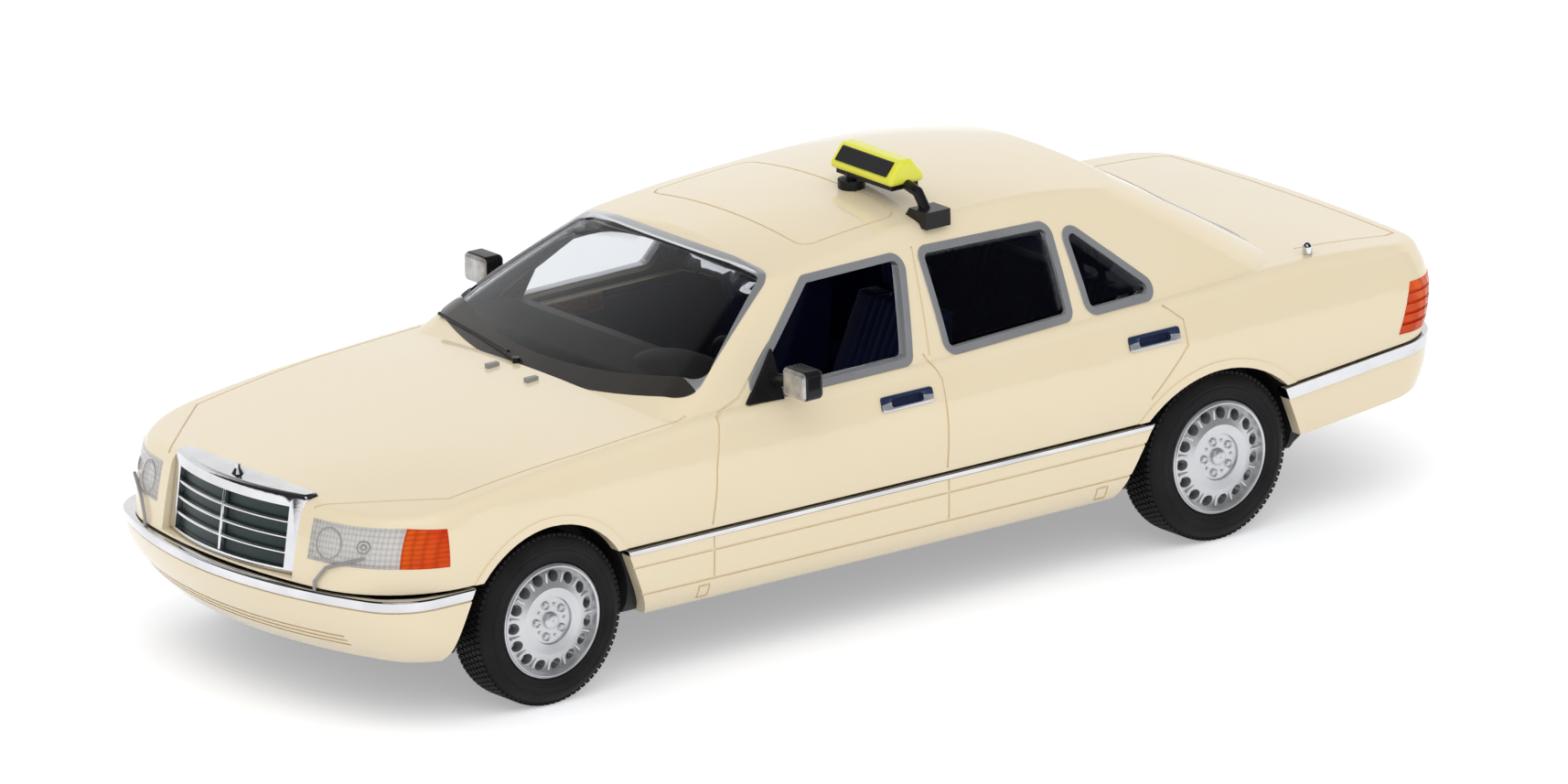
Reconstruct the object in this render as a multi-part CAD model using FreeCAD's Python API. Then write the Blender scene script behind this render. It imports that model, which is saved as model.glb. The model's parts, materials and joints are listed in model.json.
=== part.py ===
import FreeCAD, Part
import math
import os
from functools import lru_cache
from FreeCAD import Vector

# A 1:43 die-cast model of a long-wheelbase saloon taxi, in millimetres.
# X runs forward, Y to the car's left and Z up, from the middle of the footprint on the ground.

# Driving sizes
LENGTH = 120.0
WIDTH = 42.3
HEIGHT = 33.5
WHEELBASE = 71.4
FRONT_OVERHANG = 20.6
WALL = 1.0
OVERRUN = 6.0

# Wheels and axles
TYRE_DIAMETER = 15.04
TYRE_WIDTH = 4.8
TYRE_SHOULDER = 0.9
TYRE_BEAD = 0.35
RIM_DIAMETER = 10.0
RIM_BARREL_WALL = 0.45
RIM_DISC_THICKNESS = 0.9
RIM_FACE_INSET = 0.35
RIM_CROWN = 0.3
RIM_HUB_DIAMETER = 2.6
HUB_STEP = 0.08
RIM_HOLES = 15
RIM_HOLE_DIAMETER = 1.0
RIM_HOLE_CIRCLE = 7.8
LUG_COUNT = 5
LUG_DIAMETER = 0.55
LUG_CIRCLE = 2.9
HUB_DIAMETER = 3.0
WHEEL_FACE_INSET = 0.35
AXLE_DIAMETER = 1.5
AXLE_END_COVER = 1.9
AXLE_CLEARANCE = 0.05
AXLE_PASSAGE_CLEARANCE = 0.5
BEARING_LENGTH = 2.4
BEARING_WALL = 1.1
BEARING_INSET = 3.2

# Wheel arches
FRONT_ARCH_RADIUS = 8.5
REAR_ARCH_RADIUS = 10.9
REAR_ARCH_TOP = 15.5
ARCH_LIP_WIDTH = 0.75
ARCH_LIP_STAND = 0.14
WELL_CLEARANCE = 1.3
WELL_WALL = 0.6
WELL_SIDE_CLEARANCE = 0.7

# Heights of the body's lower edge and of the skirt under it
SPLIT_HEIGHT = 12.3
SPLIT_GAP = 0.2
SKIRT_BOTTOM = 5.9
SKIRT_WALL = 1.2
STRIP_HEIGHT = 0.5
STRIP_STAND = 0.12
FRONT_STRIP_HEIGHT = 1.05

# Base plate
BASE_BOTTOM = 6.0
BASE_THICKNESS = 1.2
BASE_EDGE_CLEARANCE = 0.1
RAIL_WALL = 0.9
RAIL_CLEARANCE = 0.1
RAIL_TONGUE = 1.5
BASE_TAIL_RISE = 3.6
RELIEF_HEIGHT = 0.6
SUMP_LENGTH = 15.0
SUMP_WIDTH = 9.0
PROPSHAFT_DIAMETER = 1.4
PIPE_DIAMETER = 1.3
PIPE_OFFSET = 6.2
SILENCER_LENGTH = 13.0
SILENCER_WIDTH = 4.6
SILENCER_HEIGHT = 0.9
PIPE_END_INSET = 1.5
PIPE_TAIL_RISE = 2.6

# Screws that hold the body, and the holes for a display plinth
POST_DIAMETER = 4.6
POST_INSET = 11.0
SCREW_DIAMETER = 1.6
SCREW_HEAD_DIAMETER = 3.0
SCREW_HEAD_HEIGHT = 0.7
SCREW_LENGTH = 6.0
SCREW_SLOT_WIDTH = 0.4
SCREW_SLOT_DEPTH = 0.3
PLINTH_HOLE_DIAMETER = 2.5
PLINTH_HOLE_DEPTH = 5.0
PLINTH_HOLE_FRONT = 27.0
PLINTH_HOLE_PITCH = 64.0
PLINTH_BOSS_WALL = 1.4

# Engraved lines, glass, frames and lamps
GROOVE_WIDTH = 0.2
GROOVE_DEPTH = 0.14
FRAME_WIDTH = 0.62
COWL_WIDTH = 1.9
FRAME_STAND = 0.12
GLASS_INSET = 0.3
GLASS_THICKNESS = 0.6
GLASS_CLEARANCE = 0.03
WINDOW_CORNER = 0.5
SCREEN_CORNER = 1.4
LAMP_STAND = 0.05
LAMP_DEPTH = 1.3
TAIL_LAMP_RIBS = 5
TAIL_RIB_GAP = 0.28
TAIL_RIB_DEPTH = 0.25

# Interior
TUB_WALL = 0.7
TUB_CLEARANCE = 0.05
TUB_SIDE_GAP = 0.2
TUB_TOP = 20.6
TUNNEL_WIDTH = 4.4
TUNNEL_HEIGHT = 2.6
SEAT_WIDTH = 10.8
SEAT_SPACING = 17.0
SEAT_EDGE = 0.9
HEADREST_WIDTH = 6.0
HEADREST_HEIGHT = 3.0
HEADREST_THICKNESS = 1.5
HEADREST_STEM = 0.7
STEERING_WHEEL_DIAMETER = 9.0
STEERING_RIM_DIAMETER = 0.75
STEERING_SPOKE_DIAMETER = 0.6
STEERING_HUB_DIAMETER = 2.4
STEERING_COLUMN_DIAMETER = 1.3
STEERING_TILT = 62.0
STEERING_COLUMN_LENGTH = 6.5
DASH_EDGE = 0.5

# Grille and bonnet
GRILLE_HALF_WIDTH = 9.4
GRILLE_TOP = 19.45
GRILLE_BOTTOM = 12.5
GRILLE_SETBACK = 0.75
GRILLE_RAKE = 1.1
GRILLE_BOW_RADIUS = 27.0
GRILLE_BACK = 4.75
GRILLE_BORDER = 1.55
GRILLE_SILL = 0.55
GRILLE_HEADER = 1.15
GRILLE_POCKET = 1.1
GRILLE_EDGE = 0.45
INSERT_THICKNESS = 0.5
SLAT_THICKNESS = 0.28
SLAT_STAND = 0.55
SLAT_COUNT = 3
ORNAMENT_BASE_DIAMETER = 1.3
ORNAMENT_BASE_HEIGHT = 0.45
ORNAMENT_STUD_DIAMETER = 0.6
ORNAMENT_STUD_HEIGHT = 0.6
NOZZLE_LENGTH = 1.2
NOZZLE_WIDTH = 0.5
NOZZLE_HEIGHT = 0.35
NOZZLE_OFFSET = 2.8
ANTENNA_DIAMETER = 0.9
ANTENNA_HEIGHT = 0.6

# Handles, mirrors and wipers
HANDLE_LENGTH = 5.5
HANDLE_HEIGHT = 1.25
HANDLE_STAND = 0.15
HANDLE_CORNER = 0.25
HANDLE_POCKET_LENGTH = 3.4
HANDLE_POCKET_HEIGHT = 0.75
HANDLE_POCKET_DEPTH = 0.45
MIRROR_HEAD_WIDTH = 3.3
MIRROR_HEAD_HEIGHT = 2.6
MIRROR_HEAD_DEPTH = 2.2
MIRROR_REACH = 24.5
MIRROR_EDGE = 0.5
MIRROR_ARM_DIAMETER = 1.1
MIRROR_ARM_REACH = 2.6
MIRROR_BASE_STAND = 0.45
WIPER_DIAMETER = 0.35
WIPER_STAND = 0.3
LAMP_WIPER_DIAMETER = 0.3
ROOM_MIRROR_WIDTH = 5.4
ROOM_MIRROR_HEIGHT = 1.3
ROOM_MIRROR_DEPTH = 0.6

# Number plate and taxi sign
PLATE_WIDTH = 12.1
PLATE_HEIGHT = 2.6
PLATE_THICKNESS = 0.4
PLATE_MIDDLE = 16.4
SIGN_LENGTH = 8.7
SIGN_HEIGHT = 2.15
SIGN_BAND = 0.65
SIGN_FOOT_THICKNESS = 3.7
SIGN_TOP_THICKNESS = 1.2
SIGN_EDGE = 0.4
SIGN_PANEL_MARGIN = 0.75
SIGN_PANEL_EDGE = 0.2
SIGN_PANEL_THICKNESS = 0.12
SIGN_FOOT_DIAMETER = 2.4
SIGN_FOOT_HEIGHT = 0.7
SIGN_STEM_DIAMETER = 0.9
SIGN_ARM_DIAMETER = 0.95
SIGN_ELBOW_REACH = 1.4
SIGN_ELBOW_DROP = 0.35
SIGN_BAR_WIDTH = 2.8
SIGN_BAR_THICKNESS = 0.45
CLAMP_LENGTH = 2.6
CLAMP_WIDTH = 2.4
CLAMP_HEIGHT = 1.0
CLAMP_DROP = 0.5

# Plan outlines of the body below the windows, from the sill to above the shoulder.
# Each row: height share of HEIGHT, front and rear shares of LENGTH, then half-width,
# front corner and rear corner shares of WIDTH.
LOWER_SHARES = [
    (0.299, 0.4942, -0.4692, 0.4930, 0.236, 0.095),
    (0.418, 0.4896, -0.4742, 0.4990, 0.236, 0.095),
    (0.525, 0.4829, -0.4817, 0.4990, 0.236, 0.099),
    (0.597, 0.4767, -0.4817, 0.4860, 0.236, 0.104),
    (0.657, 0.4700, -0.4758, 0.4680, 0.236, 0.113),
    (0.746, 0.4583, -0.4625, 0.4370, 0.236, 0.123),
]
LOWER_BOW_SHARES = (0.500, 2.100, 29.0)

# The same for the cabin above the belt.
UPPER_SHARES = [
    (0.633, 0.2317, -0.3867, 0.4645, 0.076, 0.142),
    (0.716, 0.1958, -0.3492, 0.4290, 0.076, 0.142),
    (0.806, 0.1525, -0.3083, 0.3853, 0.076, 0.132),
    (0.910, 0.0983, -0.2575, 0.3310, 0.076, 0.123),
    (1.030, 0.0333, -0.2000, 0.2670, 0.076, 0.118),
]
UPPER_BOW_SHARES = (0.740, 0.480, 7.5)

# The same for the skirt of bumpers and sills.
SKIRT_SHARES = [
    (0.176, 0.4708, -0.4542, 0.4705, 0.130, 0.118),
    (0.236, 0.4867, -0.4792, 0.4940, 0.130, 0.118),
    (0.299, 0.4958, -0.4933, 0.4976, 0.130, 0.118),
    (0.370, 0.4992, -0.4990, 0.4990, 0.130, 0.118),
    (0.470, 0.4992, -0.4990, 0.4990, 0.130, 0.118),
]
SKIRT_BOW_SHARES = (0.375, 0.450, 29.0)

# Top of bonnet, belt and boot: x share of LENGTH, then height shares at the middle and at the side.
DECK_SHARES = [
    (0.5167, 0.543, 0.516),
    (0.4750, 0.573, 0.543),
    (0.4333, 0.5955, 0.567),
    (0.3833, 0.619, 0.594),
    (0.3333, 0.639, 0.616),
    (0.2583, 0.663, 0.637),
    (0.1833, 0.676, 0.651),
    (0.0667, 0.678, 0.655),
    (-0.0667, 0.679, 0.660),
    (-0.2000, 0.684, 0.666),
    (-0.2833, 0.690, 0.673),
    (-0.3667, 0.688, 0.676),
    (-0.4250, 0.678, 0.666),
    (-0.4750, 0.658, 0.649),
    (-0.5167, 0.636, 0.630),
]
DECK_SIDE_SHARE = 0.414

# Roof: the same columns.
ROOF_SHARES = [
    (0.2500, 0.770, 0.735),
    (0.1833, 0.854, 0.818),
    (0.1333, 0.9015, 0.869),
    (0.0917, 0.936, 0.903),
    (0.0333, 0.970, 0.934),
    (-0.0333, 0.991, 0.951),
    (-0.1000, 1.000, 0.958),
    (-0.1667, 0.994, 0.951),
    (-0.2250, 0.970, 0.925),
    (-0.2750, 0.934, 0.8895),
    (-0.3333, 0.8836, 0.836),
    (-0.4167, 0.800, 0.754),
]
ROOF_SIDE_SHARE = 0.307
SURFACE_COLUMNS = 9
DECK_EDGE_RADIUS = 1.4
ROOF_EDGE_RADIUS = 1.5
INNER_EDGE_RADIUS = 0.8

# Side windows: x shares of LENGTH and z shares of HEIGHT, clockwise seen from the left
FRONT_WINDOW_SHARES = [(0.1400, 0.666), (0.0608, 0.884), (-0.0214, 0.888), (0.0011, 0.671)]
REAR_WINDOW_SHARES = [(-0.0375, 0.671), (-0.0434, 0.888), (-0.1515, 0.880), (-0.1441, 0.683)]
QUARTER_WINDOW_SHARES = [(-0.1658, 0.683), (-0.1681, 0.873), (-0.2250, 0.686)]

# Windscreen and rear window seen from above: x share of the lower edge and of the upper edge,
# half-widths as shares of WIDTH, and how far each edge is bowed, as shares of LENGTH
WINDSCREEN_SHARES = (0.1725, 0.4150, 0.0868, 0.293, 0.0325, 0.0050)
REAR_SCREEN_SHARES = (-0.3433, 0.312, -0.2717, 0.260, 0.0100, 0.0080)
COWL_START_SHARE = 0.1790

# Lamps
HEADLAMP_INNER_SHARE = 0.258
HEADLAMP_SPLIT_SHARE = 0.442
LAMP_REAR_SHARE = 0.4150
HEADLAMP_Z_SHARES = (0.434, 0.536)
SIGNAL_Z_SHARES = (0.420, 0.500)
TAIL_LAMP_FRONT_SHARES = (-0.4440, -0.4310)
TAIL_LAMP_Z_SHARES = (0.436, 0.568)
TAIL_LAMP_INNER_SHARE = 0.205

# Bumper and sill ends, with the rear bumper rising to the back
REAR_BUMPER_SHARES = [(-0.3260, 0.367), (-0.3410, 0.230), (-0.4450, 0.270), (-0.5300, 0.284),
                      (-0.5300, 0.428), (-0.4600, 0.412)]
FRONT_BUMPER_END_SHARES = ((0.3930, 0.367), (0.4170, 0.176))
SILL_FRONT_SHARES = ((0.2630, 0.367), (0.2430, 0.176))
SILL_REAR_SHARES = ((-0.2080, 0.367), (-0.1750, 0.176))
SILL_CREASE_SHARES = (0.236, 0.312)
FRONT_SLOT_SHARES = (0.215, 0.228, 0.241)
FRONT_SLOT_HALF_SHARE = 0.330
FRONT_CREASE_SHARE = 0.330

# Engraved lines on the sides
FRONT_DOOR_LINE_SHARES = [(0.1870, 0.380), (0.1830, 0.525), (0.1740, 0.640)]
FRONT_POST_LINE_SHARES = [(0.1740, 0.640), (0.1480, 0.669), (0.1217, 0.741), (0.0928, 0.811)]
CENTRE_LINE_SHARES = [(-0.0210, 0.380), (-0.0210, 0.610), (-0.0140, 0.668)]
CENTRE_POST_LINE_SHARES = [(-0.0190, 0.668), (-0.0360, 0.905)]
REAR_DOOR_LINE_SHARES = [(-0.2050, 0.430), (-0.2390, 0.545), (-0.2385, 0.612), (-0.2250, 0.652)]
BONNET_LINE_SHARES = [(0.4700, 0.250), (0.4000, 0.430), (0.2900, 0.444), (0.1950, 0.438)]
BOOT_LINE_SHARES = [(-0.3700, 0.372), (-0.4500, 0.384), (-0.4600, 0.372), (-0.4600, 0.0)]
SUNROOF_SHARES = (0.0400, 0.258, -0.0442, 0.252)
SUNROOF_CORNER = 1.2
JACK_MARK_SHARES = (0.195, -0.160)
JACK_MARK_Z_SHARE = 0.205
JACK_MARK_SIZE = 0.9
FUEL_FLAP_SHARES = (-0.3300, 0.560)
FUEL_FLAP_SIZE = 4.2

# Seats and dashboard in side view: x share of LENGTH and share of the height from floor to roof
FRONT_CUSHION_SHARES = [(0.0550, 0.0), (0.0590, 0.203), (0.0450, 0.233), (-0.0400, 0.187), (-0.0400, 0.0)]
FRONT_BACK_SHARES = [
    (-0.0250, 0.082), (-0.0200, 0.266), (-0.0560, 0.646), (-0.0740, 0.639), (-0.0640, 0.082)]
FRONT_HEADREST_SHARES = (-0.0660, 0.675)
REAR_CUSHION_SHARES = [(-0.1250, 0.0), (-0.1230, 0.200), (-0.1350, 0.229), (-0.2150, 0.180), (-0.2150, 0.0)]
REAR_BACK_SHARES = [(-0.2100, 0.082), (-0.1990, 0.253), (-0.2230, 0.567), (-0.2370, 0.574), (-0.2390, 0.082)]
REAR_HEADREST_SHARES = (-0.2300, 0.604)
DASH_SHARES = [(0.1780, 0.331), (0.1780, 0.596), (0.1350, 0.614), (0.1120, 0.580), (0.1060, 0.462),
               (0.1180, 0.331)]
CONSOLE_SHARES = [(0.1200, 0.0), (0.1200, 0.320), (0.0900, 0.253), (-0.0300, 0.200), (-0.0300, 0.0)]
TUB_FRONT_SHARE = 0.1860
TUB_REAR_SHARE = -0.2460
SHELF_REAR_SHARE = -0.3350
SHELF_HALF_SHARE = 0.350
WHEEL_CENTRE_SHARES = (0.0740, 0.201, 0.488)
ROOM_MIRROR_SHARES = (0.0780, 0.845)

# Wiper: pivot and blade ends as x, y shares over the foot of the windscreen
WIPER_SHARES = ((0.2160, -0.050), (0.1970, -0.385), (0.2125, -0.090))
LAMP_WIPER_SHARES = ((0.290, 0.385), (0.315, 0.425), (0.390, 0.460))
MIRROR_BASE_SHARES = [(0.1100, 0.762), (0.1440, 0.652), (0.1130, 0.648)]
MIRROR_HEAD_SHARES = (0.1170, 0.716)
HANDLE_SHARES = [(0.0125, 0.5815), (-0.2100, 0.5820)]
NOZZLE_SHARE = 0.2330
ANTENNA_SHARES = (-0.3700, 0.414)
SCREEN_FLOOR_SHARE = 0.650
PLAN_LINE_LOW_SHARE = 0.500
PLAN_LINE_HIGH_SHARE = 0.836
SIGN_PLACE_SHARES = (-0.0573, 0.143, 1.0663)
SIGN_FOOT_SHARES = (-0.0490, 0.087)
CLAMP_SHARES = (-0.0610, 0.304)


def px(share):
    return LENGTH * share


def py(share):
    return WIDTH * share


def pz(share):
    return HEIGHT * share


FRONT_AXLE_X = LENGTH / 2 - FRONT_OVERHANG
REAR_AXLE_X = FRONT_AXLE_X - WHEELBASE
AXLE_Z = TYRE_DIAMETER / 2
WHEEL_FACE_Y = WIDTH / 2 - WHEEL_FACE_INSET
WHEEL_BACK_Y = WHEEL_FACE_Y - TYRE_WIDTH
WELL_INNER_Y = WHEEL_BACK_Y - WELL_SIDE_CLEARANCE
WELL_RADIUS = TYRE_DIAMETER / 2 + WELL_CLEARANCE
BASE_TOP = BASE_BOTTOM + BASE_THICKNESS
FLOOR_TOP = BASE_TOP + TUB_CLEARANCE + TUB_WALL
ROOM_HEIGHT = HEIGHT - WALL - FLOOR_TOP


# Outlines and solids

def circle_meeting(first, first_radius, second, second_radius, ahead):
    """The point at the given distances from two centres, on the left side, ahead or behind."""
    line = second - first
    gap = line.Length
    along = (first_radius ** 2 - second_radius ** 2 + gap ** 2) / (2 * gap)
    across = math.sqrt(first_radius ** 2 - along ** 2)
    unit = line * (1 / gap)
    normal = Vector(-unit.y, unit.x, 0)
    points = [first + unit * along + normal * (across * side) for side in (1, -1)]
    if ahead:
        return max(points, key=lambda p: p.x)
    return min(points, key=lambda p: p.x)


def rim_point(centre, through, radius):
    direction = through - centre
    direction.normalize()
    return centre + direction * radius


def arc_between(centre, radius, start, end):
    middle = rim_point(centre, (start + end) * 0.5, radius)
    return Part.Arc(start, middle, end).toShape()


def flipped(point):
    return Vector(point.x, -point.y, point.z)


def plan_outline(row, bows, inset):
    """A closed outline of eight tangent arcs: bowed ends and sides with rounded corners."""
    height, front, rear, half, front_corner, rear_corner = row
    level = pz(height)
    front_bow = px(bows[0])
    rear_bow = px(bows[1])
    side_bow = px(bows[2])
    front_centre = Vector(px(front) - front_bow, 0, level)
    rear_centre = Vector(px(rear) + rear_bow, 0, level)
    side_centre = Vector(px(front + rear) / 2, py(half) - side_bow, level)
    front_radius = front_bow - inset
    rear_radius = rear_bow - inset
    side_radius = side_bow - inset
    near = py(front_corner) - inset
    far = py(rear_corner) - inset
    near_centre = circle_meeting(front_centre, front_radius - near, side_centre, side_radius - near, True)
    far_centre = circle_meeting(rear_centre, rear_radius - far, side_centre, side_radius - far, False)
    a = rim_point(front_centre, near_centre, front_radius)
    b = rim_point(side_centre, near_centre, side_radius)
    c = rim_point(side_centre, far_centre, side_radius)
    d = rim_point(rear_centre, far_centre, rear_radius)
    other_side = flipped(side_centre)
    edges = [
        arc_between(front_centre, front_radius, flipped(a), a),
        arc_between(near_centre, near, a, b),
        arc_between(side_centre, side_radius, b, c),
        arc_between(far_centre, far, c, d),
        arc_between(rear_centre, rear_radius, d, flipped(d)),
        arc_between(flipped(far_centre), far, flipped(d), flipped(c)),
        arc_between(other_side, side_radius, flipped(c), flipped(b)),
        arc_between(flipped(near_centre), near, flipped(b), flipped(a)),
    ]
    return Part.Wire(edges)


def lofted(rows, bows, inset):
    return Part.makeLoft([plan_outline(row, bows, inset) for row in rows], True, False)


def under_surface(rows, side_share, drop):
    """Everything below a crowned surface given along its middle and at its sides."""
    reference = py(side_share)
    reach = WIDTH / 2 + OVERRUN
    grid = []
    for x_share, middle, side in sorted(rows):
        line = []
        for column in range(SURFACE_COLUMNS):
            y = reach * (2 * column / (SURFACE_COLUMNS - 1) - 1)
            fall = pz(middle - side) * (y / reference) ** 2
            line.append(Vector(px(x_share), y, pz(middle) - fall - drop))
        grid.append(line)
    surface = Part.BSplineSurface()
    surface.interpolate(grid)
    return surface.toShape().extrude(Vector(0, 0, -HEIGHT))


def softened_top(solid, radius):
    top = max(solid.Faces, key=lambda face: face.CenterOfMass.z)
    return solid.makeFillet(radius, top.OuterWire.Edges)


@lru_cache(maxsize=None)
def lower_body(inset, edge=0.0):
    solid = lofted(LOWER_SHARES, LOWER_BOW_SHARES, inset)
    solid = solid.common(under_surface(DECK_SHARES, DECK_SIDE_SHARE, inset))
    if edge:
        solid = softened_top(solid, edge)
    return solid


@lru_cache(maxsize=None)
def cabin(inset, edge=0.0):
    solid = lofted(UPPER_SHARES, UPPER_BOW_SHARES, inset)
    solid = solid.common(under_surface(ROOF_SHARES, ROOF_SIDE_SHARE, inset))
    if edge:
        solid = softened_top(solid, edge)
    return solid


@lru_cache(maxsize=None)
def skirt(inset):
    return lofted(SKIRT_SHARES, SKIRT_BOW_SHARES, inset)


PLANES = {
    "side": lambda u, v, level: Vector(u, level, v),
    "front": lambda u, v, level: Vector(level, u, v),
    "top": lambda u, v, level: Vector(u, v, level),
}
NORMALS = {"side": Vector(0, 1, 0), "front": Vector(1, 0, 0), "top": Vector(0, 0, 1)}


def prism(points, plane, low, high, corner=0.0):
    """A straight prism on a flat outline, with its corners rounded where a radius is given."""
    at = [PLANES[plane](u, v, low) for u, v in points]
    edges = []
    count = len(at)
    starts = []
    ends = []
    arcs = []
    for i in range(count):
        before, here, after = at[i - 1], at[i], at[(i + 1) % count]
        if not corner:
            starts.append(here)
            ends.append(here)
            arcs.append(None)
            continue
        back = before - here
        forth = after - here
        back.normalize()
        forth.normalize()
        half_angle = back.getAngle(forth) / 2
        reach = corner / math.tan(half_angle)
        bisector = back + forth
        bisector.normalize()
        centre = here + bisector * (corner / math.sin(half_angle))
        starts.append(here + back * reach)
        ends.append(here + forth * reach)
        arcs.append(Part.Arc(starts[-1], centre - bisector * corner, ends[-1]).toShape())
    for i in range(count):
        if arcs[i] is not None:
            edges.append(arcs[i])
        edges.append(Part.makeLine(ends[i], starts[(i + 1) % count]))
    face = Part.Face(Part.Wire(edges))
    return face.extrude(NORMALS[plane] * (high - low))


def grown(points, distance):
    """The outline moved outwards by a distance along each side."""
    area = sum(points[i - 1][0] * points[i][1] - points[i][0] * points[i - 1][1] for i in range(len(points)))
    sign = 1 if area > 0 else -1
    sides = []
    for i in range(len(points)):
        (ax, ay), (bx, by) = points[i - 1], points[i]
        length = math.hypot(bx - ax, by - ay)
        nx, ny = (by - ay) / length * sign, (ax - bx) / length * sign
        sides.append((ax + nx * distance, ay + ny * distance, bx - ax, by - ay))
    moved = []
    for i in range(len(points)):
        ax, ay, adx, ady = sides[i]
        bx, by, bdx, bdy = sides[(i + 1) % len(points)]
        step = ((bx - ax) * bdy - (by - ay) * bdx) / (adx * bdy - ady * bdx)
        moved.append((ax + adx * step, ay + ady * step))
    return moved


def line_strips(points, plane, low, high):
    """Thin prisms along a run of straight stretches, for an engraved line."""
    half = GROOVE_WIDTH / 2
    strips = []
    for (ax, ay), (bx, by) in zip(points, points[1:]):
        length = math.hypot(bx - ax, by - ay)
        ux, uy = (bx - ax) / length * half, (by - ay) / length * half
        outline = [(ax - ux - uy, ay - uy + ux), (bx + ux - uy, by + uy + ux),
                   (bx + ux + uy, by + uy - ux), (ax - ux + uy, ay - uy - ux)]
        strips.append(prism(outline, plane, low, high))
    return strips


def joined(solids):
    first = solids[0]
    if len(solids) > 1:
        first = first.fuse(solids[1:])
    return first.removeSplitter()


def block(x0, x1, y0, y1, z0, z1):
    return Part.makeBox(x1 - x0, y1 - y0, z1 - z0, Vector(x0, y0, z0))


def rod(start, end, diameter):
    direction = end - start
    return Part.makeCylinder(diameter / 2, direction.Length, start, direction)


def mirrored(shape):
    return shape.mirror(Vector(0, 0, 0), Vector(0, 1, 0))


def side_points(shares):
    return [(px(x), pz(z)) for x, z in shares]


def room_points(shares):
    """Points in the cabin, with heights measured from the floor."""
    return [(px(x), FLOOR_TOP + ROOM_HEIGHT * z) for x, z in shares]


def left_half():
    return block(-LENGTH, LENGTH, 0, WIDTH, -HEIGHT, 2 * HEIGHT)


def softened(solid, radius, chosen=None):
    edges = solid.Edges if chosen is None else [edge for edge in solid.Edges if chosen(edge)]
    return solid.makeFillet(radius, edges)


def screen_prism(shares, grow, grow_low=None):
    """The prism over a bowed windscreen or rear window, seen from above."""
    low_x, low_half, high_x, high_half, low_bow, high_bow = shares
    side = 1 if low_x > high_x else -1
    low = px(low_x) + (grow if grow_low is None else grow_low) * side
    high = px(high_x) - grow * side
    low_y = py(low_half) + grow
    high_y = py(high_half) + grow
    low_middle = low + px(low_bow) * side
    high_middle = high + px(high_bow) * side
    floor = pz(SCREEN_FLOOR_SHARE)
    corners = [Vector(low, -low_y, floor), Vector(low, low_y, floor),
               Vector(high, high_y, floor), Vector(high, -high_y, floor)]
    edges = [
        Part.Arc(corners[0], Vector(low_middle, 0, floor), corners[1]).toShape(),
        Part.makeLine(corners[1], corners[2]),
        Part.Arc(corners[2], Vector(high_middle, 0, floor), corners[3]).toShape(),
        Part.makeLine(corners[3], corners[0]),
    ]
    solid = Part.Face(Part.Wire(edges)).extrude(Vector(0, 0, HEIGHT))
    upright = [edge for edge in solid.Edges if abs(edge.Vertexes[0].Z - edge.Vertexes[-1].Z) > WALL]
    return solid.makeFillet(SCREEN_CORNER + grow, upright)


# Windows, frames and glass

def window_outlines():
    return [side_points(shares) for shares in
            (FRONT_WINDOW_SHARES, REAR_WINDOW_SHARES, QUARTER_WINDOW_SHARES)]


def side_prism(outline, grow, corner):
    return prism(grown(outline, grow), "side", 0, WIDTH, corner)


def glass_band():
    return cabin(GLASS_INSET).cut(cabin(GLASS_INSET + GLASS_THICKNESS))


def side_frames(band):
    """A ring round each side window, as deep as the wall."""
    rings = []
    for outline in window_outlines():
        outer = side_prism(outline, FRAME_WIDTH, WINDOW_CORNER + FRAME_WIDTH)
        rings.append(band.common(outer.cut(side_prism(outline, 0, WINDOW_CORNER))))
    return rings


def side_glass(band):
    panes = [side_prism(outline, -GLASS_CLEARANCE, WINDOW_CORNER) for outline in window_outlines()[1:]]
    return [band.common(pane) for pane in panes]


def screen_opening(shares):
    """The whole hole for a screen, its frame and, at the front, the dark cowl below it."""
    foot = COWL_WIDTH if shares is WINDSCREEN_SHARES else FRAME_WIDTH
    return screen_prism(shares, FRAME_WIDTH, foot)


def screen_frame(band, shares):
    return band.common(screen_opening(shares).cut(screen_prism(shares, 0)))


def screen_glass(band, shares):
    return band.common(screen_prism(shares, -GLASS_CLEARANCE))


# Lamps

def headlamp_prism():
    low, high = pz(HEADLAMP_Z_SHARES[0]), pz(HEADLAMP_Z_SHARES[1])
    inner, outer = py(HEADLAMP_INNER_SHARE), py(HEADLAMP_SPLIT_SHARE)
    outline = [(inner, low), (outer, low), (outer, high), (inner, high)]
    return prism(outline, "front", px(LAMP_REAR_SHARE), LENGTH)


def signal_prism():
    low, high = pz(SIGNAL_Z_SHARES[0]), pz(SIGNAL_Z_SHARES[1])
    inner, outer = py(HEADLAMP_SPLIT_SHARE), WIDTH / 2 + OVERRUN
    outline = [(inner, pz(HEADLAMP_Z_SHARES[0])), (outer, low),
               (outer, high), (inner, pz(HEADLAMP_Z_SHARES[1]))]
    return prism(outline, "front", px(LAMP_REAR_SHARE), LENGTH)


def tail_lamp_prism():
    low, high = pz(TAIL_LAMP_Z_SHARES[0]), pz(TAIL_LAMP_Z_SHARES[1])
    top_x, bottom_x = TAIL_LAMP_FRONT_SHARES
    outline = [(-LENGTH, low), (px(bottom_x), low), (px(top_x), high), (-LENGTH, high)]
    return prism(outline, "side", py(TAIL_LAMP_INNER_SHARE), WIDTH)


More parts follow.
